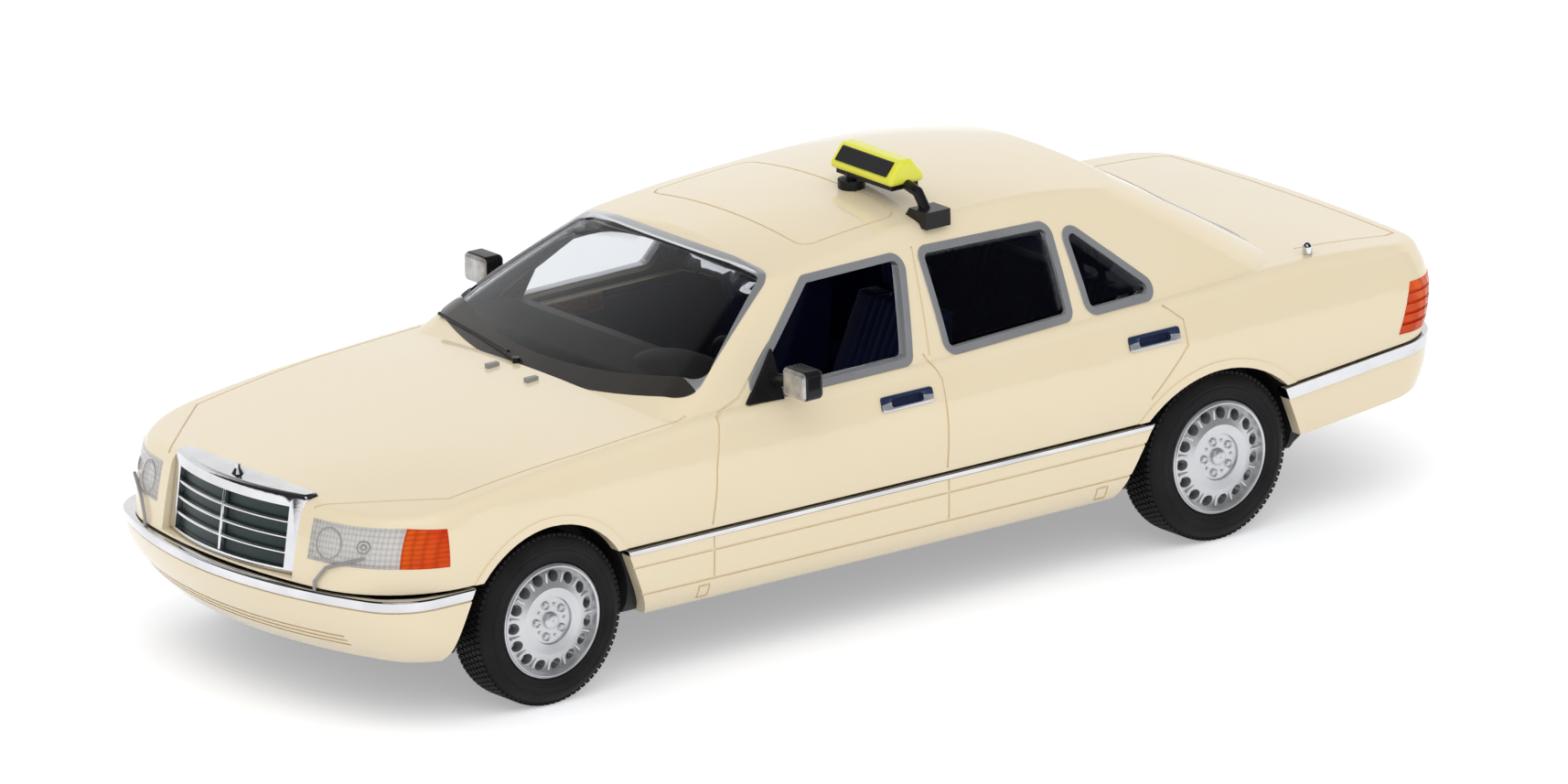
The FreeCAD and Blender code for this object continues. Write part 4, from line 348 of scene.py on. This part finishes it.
def painted_shade_inside(material, colour):
    """Painted shade: the casting's inner faces round the cabin, under the lids and at the boot's back take
    the lining's dark colour.
    """
    cabin_back, cabin_front, boot_back = -30 * MM, 22 * MM, -50 * MM
    belt, lid_foot, roof_top, boot_top = 16 * MM, 18 * MM, 31 * MM, 20.5 * MM
    inner_width, turned_limit = 17.5 * MM, -3 * MM
    tree = material.node_tree
    shader = next(node for node in tree.nodes if node.type == "BSDF_PRINCIPLED")
    paint = shader.inputs["Base Color"].links[0].from_socket
    place = node_of(tree, "ShaderNodeTexCoord")
    spot = node_of(tree, "ShaderNodeSeparateXYZ")
    facing = node_of(tree, "ShaderNodeSeparateXYZ")
    tree.links.new(place.outputs["Object"], spot.inputs[0])
    tree.links.new(place.outputs["Normal"], facing.inputs[0])

    def all_of(*parts):
        result = parts[0]
        for part in parts[1:]:
            result = maths(tree, "MULTIPLY", result, part)
        return result

    def above(value, limit):
        return maths(tree, "GREATER_THAN", value, limit)

    def below(value, limit):
        return maths(tree, "LESS_THAN", value, limit)

    x, y, z = spot.outputs
    forward, leftward, upward = facing.outputs
    cabin = all_of(above(x, cabin_back), below(x, cabin_front), above(z, belt), below(z, roof_top))
    turned_in = below(maths(tree, "MULTIPLY", y, leftward), turned_limit)
    sides = all_of(cabin, turned_in)
    inner = below(maths(tree, "ABSOLUTE", y), inner_width)
    lids = all_of(inner, below(x, cabin_front), above(z, lid_foot), below(upward, -0.5))
    back = all_of(inner, below(x, boot_back), above(z, belt), below(z, boot_top), above(forward, 0.5))
    # Where the painted shade goes: the cabin's inner side walls, faces turned down under the lids, and the
    # boot's back wall
    painted_shade_mask = maths(tree, "MAXIMUM", sides, maths(tree, "MAXIMUM", lids, back))
    tree.links.new(mixed(tree, painted_shade_mask, paint, colour), shader.inputs["Base Color"])


# Painted shade inside the cabin and boot, in place of the ivory paint on the casting's inner faces
painted_shade_inside(FINISHES["ivory_paint"], (0.006, 0.010, 0.040))

for row in frame["record"]["subparts"]:
    for slot in NODES[row["node"]].material_slots:
        slot.material = FINISHES[row["material_slot"]]
for slot in NODES["windscreen_seal"].material_slots:
    slot.material = FINISHES["cowl_brown"]


# Making pieces

def piece_from(name, vertices, faces, material):
    """A piece from places in millimetres."""
    mesh = bpy.data.meshes.new(name)
    mesh.from_pydata([Vector(v) * MM for v in vertices], [], faces)
    mesh.materials.append(material)
    piece = bpy.data.objects.new(name, mesh)
    SCENE.collection.objects.link(piece)
    return piece


def dress(piece, *finishes):
    """Gives the piece these finishes in place of its own."""
    piece.data.materials.clear()
    for finish in finishes:
        piece.data.materials.append(FINISHES[finish])


def smooth(piece):
    for face in piece.data.polygons:
        face.use_smooth = True


def rework(piece, *steps):
    """Runs each step on the piece's mesh."""
    work = bmesh.new()
    work.from_mesh(piece.data)
    for step in steps:
        step(work)
    work.to_mesh(piece.data)
    work.free()


def merge(work):
    bmesh.ops.remove_doubles(work, verts=work.verts, dist=JOIN)


def face_outwards(work):
    bmesh.ops.recalc_face_normals(work, faces=work.faces)


def clear_flat_edges(work):
    bmesh.ops.dissolve_limit(work, angle_limit=math.radians(FLAT_ANGLE), verts=work.verts, edges=work.edges)


def settle(piece, body, slot, *stands_for):
    """Smooth by angle, then hand the piece to the frame."""
    piece.data.set_sharp_from_angle(angle=math.radians(SMOOTH_ANGLE))
    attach(piece, body)
    if stands_for:
        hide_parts(*stands_for)


def closed(piece):
    rework(piece, merge, face_outwards)
    smooth(piece)
    return piece


def frozen(piece, name):
    """The piece's evaluated form as a plain mesh with no modifiers."""
    view = bpy.context.evaluated_depsgraph_get()
    mesh = bpy.data.meshes.new_from_object(piece.evaluated_get(view))
    result = bpy.data.objects.new(name, mesh)
    mesh.name = name
    SCENE.collection.objects.link(result)
    bpy.data.objects.remove(piece)
    return result


def cad_copy(node, name):
    mesh = NODES[node].data.copy()
    mesh.name = name
    piece = bpy.data.objects.new(name, mesh)
    SCENE.collection.objects.link(piece)
    rework(piece, merge)
    return piece


def bevel_edges(piece, width, segments, angle=None):
    """Rounds the edges, or only those sharper than the angle in degrees."""
    bevel = piece.modifiers.new("edges", "BEVEL")
    bevel.width = width * MM
    bevel.segments = segments
    if angle is not None:
        bevel.limit_method = "ANGLE"
        bevel.angle_limit = math.radians(angle)


def rounded(node, name, width, *finishes):
    """The solid with its edges rounded off, as plated and painted castings have."""
    start = cad_copy(node, name + "_start")
    rework(start, clear_flat_edges)
    bevel_edges(start, width, 3, EDGE_ANGLE)
    piece = frozen(start, name)
    if finishes:
        dress(piece, *finishes)
    smooth(piece)
    return piece


def ring_of_profile(profile, steps, centre, side):
    """A closed ring turned about the axle; the profile is radius and depth from the outer face."""
    x, y, z = centre
    vertices, faces = [], []
    for i in range(steps):
        a = 2 * math.pi * i / steps
        for radius, depth in profile:
            vertices.append((x + radius * math.cos(a), y - depth * side, z + radius * math.sin(a)))
    count = len(profile)
    for i in range(steps):
        for j in range(count):
            k = (i + 1) % steps
            m = (j + 1) % count
            faces.append((i * count + j, i * count + m, k * count + m, k * count + j))
    return vertices, faces


# Geometry trees

def tree_start(name, inputs):
    tree = bpy.data.node_groups.new(name, "GeometryNodeTree")
    tree.interface.new_socket(name="Geometry", in_out="OUTPUT", socket_type="NodeSocketGeometry")
    tree.interface.new_socket(name="Geometry", in_out="INPUT", socket_type="NodeSocketGeometry")
    for label, kind, value in inputs:
        item = tree.interface.new_socket(name=label, in_out="INPUT", socket_type=kind)
        if kind != "NodeSocketMaterial":
            item.default_value = value
    return tree, node_of(tree, "NodeGroupInput"), node_of(tree, "NodeGroupOutput")


def build_stud_rows():
    """Rows of small blocks round the axle: tread blocks, or studs on a wheel's face."""
    number = "NodeSocketFloat"
    whole = "NodeSocketInt"
    tree, start, end = tree_start("stud_rows", [
        ("Radius", number, 0.007), ("Blocks per Row", whole, 48), ("Rows", whole, 4),
        ("Row Pitch", number, 0.001), ("Row Turn", number, 0.05), ("Depth", number, 0.0005),
        ("Across", number, 0.0008), ("Along", number, 0.0006), ("Finish", "NodeSocketMaterial", None)])
    total = maths(tree, "MULTIPLY", start.outputs["Blocks per Row"], start.outputs["Rows"])
    line = node_of(tree, "GeometryNodeMeshLine")
    tree.links.new(total, line.inputs["Count"])
    index = node_of(tree, "GeometryNodeInputIndex").outputs[0]
    row = maths(tree, "FLOOR", maths(tree, "DIVIDE", index, start.outputs["Blocks per Row"]))
    step = maths(tree, "DIVIDE", 2 * math.pi, start.outputs["Blocks per Row"])
    offset = maths(tree, "MULTIPLY", row, start.outputs["Row Turn"])
    turn = maths(tree, "MULTIPLY_ADD", index, step, offset)
    middle = maths(tree, "MULTIPLY", maths(tree, "SUBTRACT", start.outputs["Rows"], 1.0), 0.5)
    across = maths(tree, "MULTIPLY", maths(tree, "SUBTRACT", row, middle), start.outputs["Row Pitch"])
    reach = start.outputs["Radius"]
    forward = maths(tree, "MULTIPLY", reach, maths(tree, "COSINE", turn))
    down = maths(tree, "MULTIPLY", maths(tree, "MULTIPLY", reach, -1.0), maths(tree, "SINE", turn))
    place = node_of(tree, "ShaderNodeCombineXYZ")
    for i, part in enumerate((forward, across, down)):
        tree.links.new(part, place.inputs[i])
    moved = node_of(tree, "GeometryNodeSetPosition")
    tree.links.new(line.outputs["Mesh"], moved.inputs["Geometry"])
    tree.links.new(place.outputs[0], moved.inputs["Position"])
    size = node_of(tree, "ShaderNodeCombineXYZ")
    for i, label in enumerate(("Depth", "Across", "Along")):
        tree.links.new(start.outputs[label], size.inputs[i])
    block = node_of(tree, "GeometryNodeMeshCube")
    tree.links.new(size.outputs[0], block.inputs["Size"])
    facing = node_of(tree, "ShaderNodeCombineXYZ")
    tree.links.new(turn, facing.inputs[1])
    placed = node_of(tree, "GeometryNodeInstanceOnPoints")
    tree.links.new(moved.outputs["Geometry"], placed.inputs["Points"])
    tree.links.new(block.outputs["Mesh"], placed.inputs["Instance"])
    tree.links.new(facing.outputs[0], placed.inputs["Rotation"])
    joined = node_of(tree, "GeometryNodeJoinGeometry")
    tree.links.new(placed.outputs["Instances"], joined.inputs["Geometry"])
    tree.links.new(start.outputs["Geometry"], joined.inputs["Geometry"])
    real = node_of(tree, "GeometryNodeRealizeInstances")
    tree.links.new(joined.outputs["Geometry"], real.inputs["Geometry"])
    dressed = node_of(tree, "GeometryNodeSetMaterial")
    tree.links.new(real.outputs["Geometry"], dressed.inputs["Geometry"])
    tree.links.new(start.outputs["Finish"], dressed.inputs["Material"])
    tree.links.new(dressed.outputs["Geometry"], end.inputs["Geometry"])
    return tree


STUD_ROWS = build_stud_rows()


def with_studs(piece, name, **values):
    """Runs the tree on a piece and returns the result as a plain mesh."""
    modifier = piece.modifiers.new("studs", "NODES")
    modifier.node_group = STUD_ROWS
    named = {item.name: item.identifier for item in STUD_ROWS.interface.items_tree
             if item.in_out == "INPUT" and item.name != "Geometry"}
    for label, value in values.items():
        modifier[named[label.replace("_", " ")]] = value
    return frozen(piece, name)


def place_mesh(piece, offset):
    piece.data.transform(Matrix.Translation(Vector(offset) * MM))
    piece.data.update()


# Wheels

def tyre(end, hand, side):
    """Rubber ring with fine wall ribs, and six rows of tread blocks with gaps between them."""
    groove_floor = TYRE_RADIUS - 0.22
    block_middle = TYRE_RADIUS - 0.17
    blocks = 84
    bead = RIM_RADIUS
    wall = [(bead, 0.34), (bead + 0.22, 0.16), (bead + 0.5, 0.13), (bead + 0.56, 0.07),
            (bead + 0.72, 0.06), (bead + 0.78, 0.01), (bead + 1.15, 0.0), (bead + 1.22, 0.06),
            (bead + 1.36, 0.07), (bead + 1.43, 0.04), (bead + 1.7, 0.12), (bead + 1.95, 0.28),
            (bead + 2.16, 0.5), (groove_floor, 0.74)]
    profile = wall + [(radius, TYRE_WIDTH - depth) for radius, depth in reversed(wall)]
    vertices, faces = ring_of_profile(profile, 96, (0, 0, 0), side)
    carcass = closed(piece_from("carcass", vertices, faces, FINISHES["tyre_rubber"]))
    place_mesh(carcass, (0, TYRE_WIDTH / 2 * side, 0))
    piece = with_studs(carcass, f"{end}_{hand}_tyre", Radius=block_middle * MM, Blocks_per_Row=blocks,
                       Rows=6, Row_Pitch=0.61 * MM, Row_Turn=math.pi / blocks, Depth=0.3 * MM,
                       Across=0.47 * MM, Along=0.4 * MM, Finish=FINISHES["tyre_rubber"])
    place_mesh(piece, (AXLES[end], (FACE_Y - TYRE_WIDTH / 2) * side, WHEEL_Z))
    settle(piece, f"{end}_wheels", "tyre_rubber", f"tyre_{end}_{hand}")


def wheel_cap(end, hand, side):
    """A plain domed cap, with five small rings and five dots round it on each wheel's face."""
    cap = [(0.05, -0.02), (0.4, 0.0), (0.6, 0.05), (0.7, 0.14), (0.74, 0.3), (0.74, 0.6), (0.05, 0.6)]
    lug = [(0.2, 0.5), (0.2, 0.3), (0.29, 0.2), (0.37, 0.3), (0.37, 0.5)]
    dot = [(0.02, 0.5), (0.02, 0.29), (0.1, 0.31), (0.15, 0.38), (0.15, 0.5)]
    lug_circle = 1.45
    marks = 10
    vertices, faces = ring_of_profile(cap, 48, (0, 0, 0), side)
    for i in range(marks):
        a = 2 * math.pi * i / marks
        middle = (lug_circle * math.cos(a), 0, lug_circle * math.sin(a))
        spots, sides = ring_of_profile(dot if i % 2 else lug, 20, middle, side)
        first = len(vertices)
        vertices += spots
        faces += [tuple(first + corner for corner in face) for face in sides]
    piece = closed(piece_from(f"{end}_{hand}_hub_cap", vertices, faces, FINISHES["rim_silver"]))
    place_mesh(piece, (AXLES[end], FACE_Y * side, WHEEL_Z))
    settle(piece, f"{end}_wheels", "rim_silver")


def spoke_ends(end, hand, side):
    """A thin lip round the wheel, and short raised ribs between the holes near its edge."""
    lip = [(4.62, 0.16), (4.7, -0.02), (4.86, -0.03), (4.93, 0.16)]
    ribs = 15
    rib_set_back = 0.38
    vertices, faces = ring_of_profile(lip, 72, (0, 0, 0), side)
    edge = closed(piece_from("edge", vertices, faces, FINISHES["rim_silver"]))
    place_mesh(edge, (0, rib_set_back * side, 0))
    piece = with_studs(edge, f"{end}_{hand}_spoke_ends", Radius=3.86 * MM, Blocks_per_Row=ribs, Rows=1,
                       Row_Pitch=0.0, Row_Turn=0.0, Depth=0.95 * MM, Across=0.34 * MM, Along=0.2 * MM,
                       Finish=FINISHES["rim_silver"])
    piece.data.transform(Matrix.Rotation(math.pi / ribs, 4, "Y"))
    bevel_edges(piece, 0.08, 2)
    piece = frozen(piece, f"{end}_{hand}_rim_ribs")
    place_mesh(piece, (AXLES[end], (FACE_Y - rib_set_back) * side, WHEEL_Z))
    settle(piece, f"{end}_wheels", "rim_silver")


for end in AXLES:
    for hand, side in HANDS:
        tyre(end, hand, side)
        wheel_cap(end, hand, side)
        spoke_ends(end, hand, side)


# Lamps

def lamp(node, name, slot, shown_ways):
    """The lamp's solid with a lens towards the given ways and a silvered pocket behind it."""
    piece = rounded(node, name, 0.3, slot, "lamp_silver")
    for face in piece.data.polygons:
        shown = any(face.normal.dot(Vector(way)) > limit for way, limit in shown_ways)
        face.material_index = 0 if shown else 1
    settle(piece, "body", slot, node)


def lens_rings(hand, side):
    """Thin moulded rings on the headlamp's face, each from its middle's y and z and its radius."""
    rings = ((13.0, 16.2, 1.3), (16.2, 16.3, 0.5), (16.2, 16.3, 0.22))
    in_front = 70
    steps = 28
    lens = bpy.data.objects[f"{hand}_headlamp"]
    data = bpy.data.curves.new("ring", "CURVE")
    data.dimensions = "3D"
    data.bevel_depth = 0.07 * MM
    data.bevel_resolution = 2
    for y, z, radius in rings:
        line = data.splines.new("POLY")
        line.points.add(steps - 1)
        line.use_cyclic_u = True
        for i in range(steps):
            a = 2 * math.pi * i / steps
            start = Vector((in_front, side * y + radius * math.cos(a), z + radius * math.sin(a))) * MM
            hit, spot, _, _ = lens.ray_cast(start, Vector((-1, 0, 0)))
            line.points[i].co = (*(spot if hit else start), 1)
    shape = bpy.data.objects.new("ring", data)
    SCENE.collection.objects.link(shape)
    piece = frozen(shape, f"{hand}_lens_rings")
    dress(piece, "lens_mark")
    settle(piece, "body", "lamp_clear")


for hand, side in HANDS:
    lamp(f"headlamp_{hand}", f"{hand}_headlamp", "lamp_clear", [((1, 0, 0), -0.3)])
    lamp(f"turn_signal_{hand}", f"{hand}_turn_signal", "lamp_amber",
         [((1, 0, 0), 0.3), ((0, side, 0), 0.3)])
for hand, side in HANDS:
    lens_rings(hand, side)


# Outside mirrors, handles, bright trim and glass

def outside_mirror(hand, side):
    """Black housing and foot; the front of the head is rough silver."""
    head_start = 20.9 * MM
    front_limit = 0.55
    piece = rounded(f"mirror_{hand}", f"{hand}_outside_mirror", 0.3, "trim_black", "mirror_silver")
    for face in piece.data.polygons:
        if face.normal.x > front_limit and side * face.center.y > head_start:
            face.material_index = 1
    settle(piece, "body", "trim_black", f"mirror_{hand}")


def handles():
    """Bright handle surrounds, with the hollow behind each flap painted dark blue as painted shade."""
    half_handle = 4 * MM
    hollow_depth = 0.22 * MM
    side_limit = 0.75
    piece = rounded("door_handles", "door_handles_rounded", 0.1, "silver_trim", "handle_hollow",
                    "chrome_trim")
    spots = [vertex.co for vertex in piece.data.vertices]
    for face in piece.data.polygons:
        middle = face.center
        reach = max(abs(spot.y) for spot in spots if abs(spot.x - middle.x) < half_handle)
        # Faces sunk behind the flap take the painted shade
        if abs(middle.y) < reach - hollow_depth:
            face.material_index = 1
        elif abs(face.normal.y) < side_limit:
            face.material_index = 2
    settle(piece, "body", "chrome_trim", "door_handles")


def pane(node):
    """A curved window whose cut edge is painted, black at top and foot and silver at the sides."""
    outer_limit, edge_limit, side_limit = 0.2, 0.7, 0.5
    piece = cad_copy(node, node + "_pane")
    dress(piece, "clear_glazing", "trim_black", "silver_trim")
    smooth(piece)
    outward = Vector()
    for face in piece.data.polygons:
        if face.normal.z > outer_limit:
            outward += face.normal * face.area
    outward.normalize()
    for face in piece.data.polygons:
        if abs(face.normal.dot(outward)) < edge_limit:
            face.material_index = 1 if abs(face.normal.y) < side_limit else 2
    settle(piece, "body", "clear_glazing", node)


for hand, side in HANDS:
    outside_mirror(hand, side)
for trim, width in (("front_bumper_strip", 0.35), ("rear_bumper_strip", 0.3), ("side_strip_left", 0.1),
                    ("side_strip_right", 0.1), ("grille_shell", 0.28), ("grille_slats", 0.1)):
    settle(rounded(trim, trim + "_rounded", width), "body", "chrome_trim", trim)
handles()
for trim in ("side_frames_left", "side_frames_right", "windscreen_frame", "rear_window_frame"):
    settle(rounded(trim, trim + "_rounded", 0.3), "body", "silver_trim", trim)
pane("windscreen")
pane("rear_window")


# Dashboard, door linings and seats

def door_board(hand, side):
    """The brown strip along the top of a front door's lining."""
    ends, depths, heights = (6.4, 17.4), (16.0, 16.35), (20.0, 21.6)
    corners = [(x, side * y, z) for x in ends for y in depths for z in heights]
    faces = [(0, 1, 3, 2), (4, 6, 7, 5), (0, 4, 5, 1), (2, 3, 7, 6), (0, 2, 6, 4), (1, 5, 7, 3)]
    piece = closed(piece_from(f"{hand}_door_board", corners, faces, FINISHES["wood_trim"]))
    settle(piece, "body", "dash_grey")


def instrument_hood():
    """The low mound on the dashboard in front of the driver."""
    centre, reach = (16.6, 8.6, 22.2), (3.4, 5.4, 1.5)
    rings, steps = 8, 40
    vertices, faces = [], []
    for i in range(rings):
        lean = math.pi / 2 * i / rings
        for j in range(steps):
            a = 2 * math.pi * j / steps
            flat = (math.cos(lean) * math.cos(a), math.cos(lean) * math.sin(a), math.sin(lean))
            vertices.append([centre[k] + reach[k] * flat[k] for k in range(3)])
    vertices.append((centre[0], centre[1], centre[2] + reach[2]))
    for i in range(rings - 1):
        for j in range(steps):
            k = (j + 1) % steps
            faces.append((i * steps + j, i * steps + k, (i + 1) * steps + k, (i + 1) * steps + j))
    last = (rings - 1) * steps
    for j in range(steps):
        faces.append((last + j, last + (j + 1) % steps, len(vertices) - 1))
    faces.append(tuple(range(steps)))
    piece = closed(piece_from("instrument_hood", vertices, faces, FINISHES["dash_grey"]))
    settle(piece, "body", "dash_grey")


def ribbed_seat(node, name, middles, half, pitch):
    """The seat's solid rounded off, with sewn channels pressed into the cushion and back."""
    cell, channel_depth, channel_width = 0.26, 0.16, 0.16
    edge_reach, side_fade = 0.3, 1.6
    start = cad_copy(node, name + "_start")
    remesh = start.modifiers.new("even", "REMESH")
    remesh.mode = "VOXEL"
    remesh.voxel_size = cell * MM
    rounding = start.modifiers.new("round", "SMOOTH")
    rounding.factor = 0.5
    rounding.iterations = 7
    piece = frozen(start, name)
    dress(piece, "interior_blue")
    moves = []
    for vertex in piece.data.vertices:
        y = vertex.co.y / MM
        away = min(abs(y - middle) for middle in middles)
        depth = 0.0
        if away < half + edge_reach:
            groove = (away + pitch / 2) % pitch - pitch / 2
            depth = channel_depth * math.exp(-(groove / channel_width) ** 2)
        fade = max(0.0, 1 - side_fade * abs(vertex.normal.y))
        moves.append((vertex.index, vertex.normal.copy(), depth * fade))
    for index, normal, depth in moves:
        piece.data.vertices[index].co -= normal * depth * MM
    smooth(piece)
    settle(piece, "body", "interior_blue", node)


for hand, side in HANDS:
    door_board(hand, side)
instrument_hood()
ribbed_seat("front_seat_left", "left_front_seat", (8.5,), 3.4, 0.97)
ribbed_seat("front_seat_right", "right_front_seat", (-8.5,), 3.4, 0.97)
ribbed_seat("rear_bench", "back_bench", (-7.3, 7.3), 4.2, 1.05)


# Camera, light and floor

def camera():
    back = Vector((math.cos(CAMERA_RISE) * math.cos(CAMERA_TURN),
                   math.cos(CAMERA_RISE) * math.sin(CAMERA_TURN), math.sin(CAMERA_RISE)))
    level_right = (-back).cross(Vector((0, 0, 1))).normalized()
    level_up = level_right.cross(-back)
    right = math.cos(CAMERA_ROLL) * level_right + math.sin(CAMERA_ROLL) * level_up
    up = -math.sin(CAMERA_ROLL) * level_right + math.cos(CAMERA_ROLL) * level_up
    data = bpy.data.cameras.new("camera")
    data.sensor_fit = "HORIZONTAL"
    data.sensor_width = 36.0
    data.lens = PIXELS_PER_MM * CAMERA_DISTANCE / PICTURE_WIDTH_PIXELS * data.sensor_width
    data.clip_start = 0.05
    data.clip_end = 50.0
    eye = bpy.data.objects.new("camera", data)
    SCENE.collection.objects.link(eye)
    turn = Matrix((right, up, back)).transposed().to_4x4()
    place = (Vector(CAMERA_AIM) + back * CAMERA_DISTANCE) * MM
    eye.matrix_world = Matrix.Translation(place) @ turn
    SCENE.camera = eye


def lamp_panel(name, place, power, size):
    """A square light that faces the middle of the car; its place and size are in metres."""
    data = bpy.data.lights.new(name, "AREA")
    data.shape = "SQUARE"
    data.size = size
    data.energy = power
    panel = bpy.data.objects.new(name, data)
    SCENE.collection.objects.link(panel)
    car_middle = Vector((0, 0, 15 * MM))
    direction = Vector(place) - car_middle
    turn = direction.to_track_quat("Z", "Y").to_matrix().to_4x4()
    panel.matrix_world = Matrix.Translation(place) @ turn


def seen_ray(tree):
    """1 for rays from the camera and for those that gloss or glass sends on."""
    path = node_of(tree, "ShaderNodeLightPath")
    one = maths(tree, "MAXIMUM", path.outputs["Is Camera Ray"], path.outputs["Is Glossy Ray"])
    return maths(tree, "MAXIMUM", one, path.outputs["Is Transmission Ray"])


def surroundings():
    """Light of an even pale tone, seen as plain white."""
    world = bpy.data.worlds.new("studio")
    SCENE.world = world
    world.use_nodes = True
    tree = world.node_tree
    tree.nodes.clear()
    out = node_of(tree, "ShaderNodeOutputWorld")
    background = node_of(tree, "ShaderNodeBackground")
    tone = mixed(tree, seen_ray(tree), (0.86, 0.87, 0.89), (1, 1, 1))
    tree.links.new(tone, background.inputs["Color"])
    tree.links.new(background.outputs[0], out.inputs["Surface"])


def glow_only(name):
    """A material that only gives off light; its tree and the tone's socket come with it."""
    material, tree, out = new_material(name)
    glow = node_of(tree, "ShaderNodeEmission")
    tree.links.new(glow.outputs[0], out.inputs["Surface"])
    return material, tree, glow.inputs["Color"]


def mirrored_card(name, vertices, faces, material):
    """A card that is seen only in what shines."""
    card = piece_from(name, vertices, faces, material)
    card.visible_camera = False
    card.visible_diffuse = False
    card.visible_shadow = False


def studio_walls():
    """Dark walls on the camera's side, as rows of radius and height."""
    rows = [(1500, 60), (1500, 700), (1050, 1300)]
    steps = 40
    reach = math.radians(112)
    material, _, tone = glow_only("studio_walls")
    blue_tone = 0.035
    tone.default_value = (DARK_TONE, DARK_TONE, blue_tone, 1)
    vertices, faces = [], []
    for radius, height in rows:
        for i in range(steps + 1):
            a = CAMERA_TURN + reach * (2 * i / steps - 1)
            vertices.append((radius * math.cos(a), radius * math.sin(a), height))
    for j in range(len(rows) - 1):
        for i in range(steps):
            low = j * (steps + 1) + i
            faces.append((low, low + 1, low + steps + 2, low + steps + 1))
    mirrored_card("studio_walls", vertices, faces, material)


def studio_ceiling():
    """A round ceiling that is dark above the car and fades to white far out."""
    radius, height = 2600, 1301
    dark_reach, white_reach = 1450 * MM, 2900 * MM
    steps = 48
    material, tree, tone = glow_only("studio_ceiling")
    place = node_of(tree, "ShaderNodeTexCoord")
    away = node_of(tree, "ShaderNodeVectorMath", operation="LENGTH")
    tree.links.new(place.outputs["Object"], away.inputs[0])
    fade = node_of(tree, "ShaderNodeMapRange", interpolation_type="SMOOTHSTEP")
    fade.inputs["From Min"].default_value = dark_reach
    fade.inputs["From Max"].default_value = white_reach
    fade.inputs["To Min"].default_value = DARK_TONE
    fade.inputs["To Max"].default_value = 1.0
    tree.links.new(away.outputs["Value"], fade.inputs["Value"])
    tree.links.new(fade.outputs["Result"], tone)
    turns = [2 * math.pi * i / steps for i in range(steps)]
    vertices = [(radius * math.cos(a), radius * math.sin(a), height) for a in turns]
    mirrored_card("studio_ceiling", vertices, [tuple(range(steps))], material)


def floor():
    """Pale paper under the car that keeps its shadow."""
    reach, low, glow_share = 4000, -0.02, 0.33
    corners = [(-reach, -reach, low), (reach, -reach, low), (reach, reach, low), (-reach, reach, low)]
    material, tree, out = new_material("studio_floor")
    matt = node_of(tree, "ShaderNodeBsdfDiffuse")
    matt.inputs["Color"].default_value = (0.92, 0.92, 0.925, 1)
    glow = node_of(tree, "ShaderNodeEmission")
    tree.links.new(maths(tree, "MULTIPLY", seen_ray(tree), glow_share), glow.inputs["Strength"])
    total = node_of(tree, "ShaderNodeAddShader")
    tree.links.new(matt.outputs[0], total.inputs[0])
    tree.links.new(glow.outputs[0], total.inputs[1])
    tree.links.new(total.outputs[0], out.inputs["Surface"])
    piece_from("floor", corners, [(0, 1, 2, 3)], material)


camera()
surroundings()
studio_walls()
studio_ceiling()
floor()
lamp_panel("top_light", place=(0.45, 0.48, 0.95), power=1.6, size=0.8)
lamp_panel("side_light", place=(0.45, 0.95, 0.55), power=0.8, size=0.8)

SCENE.view_settings.view_transform = "Standard"
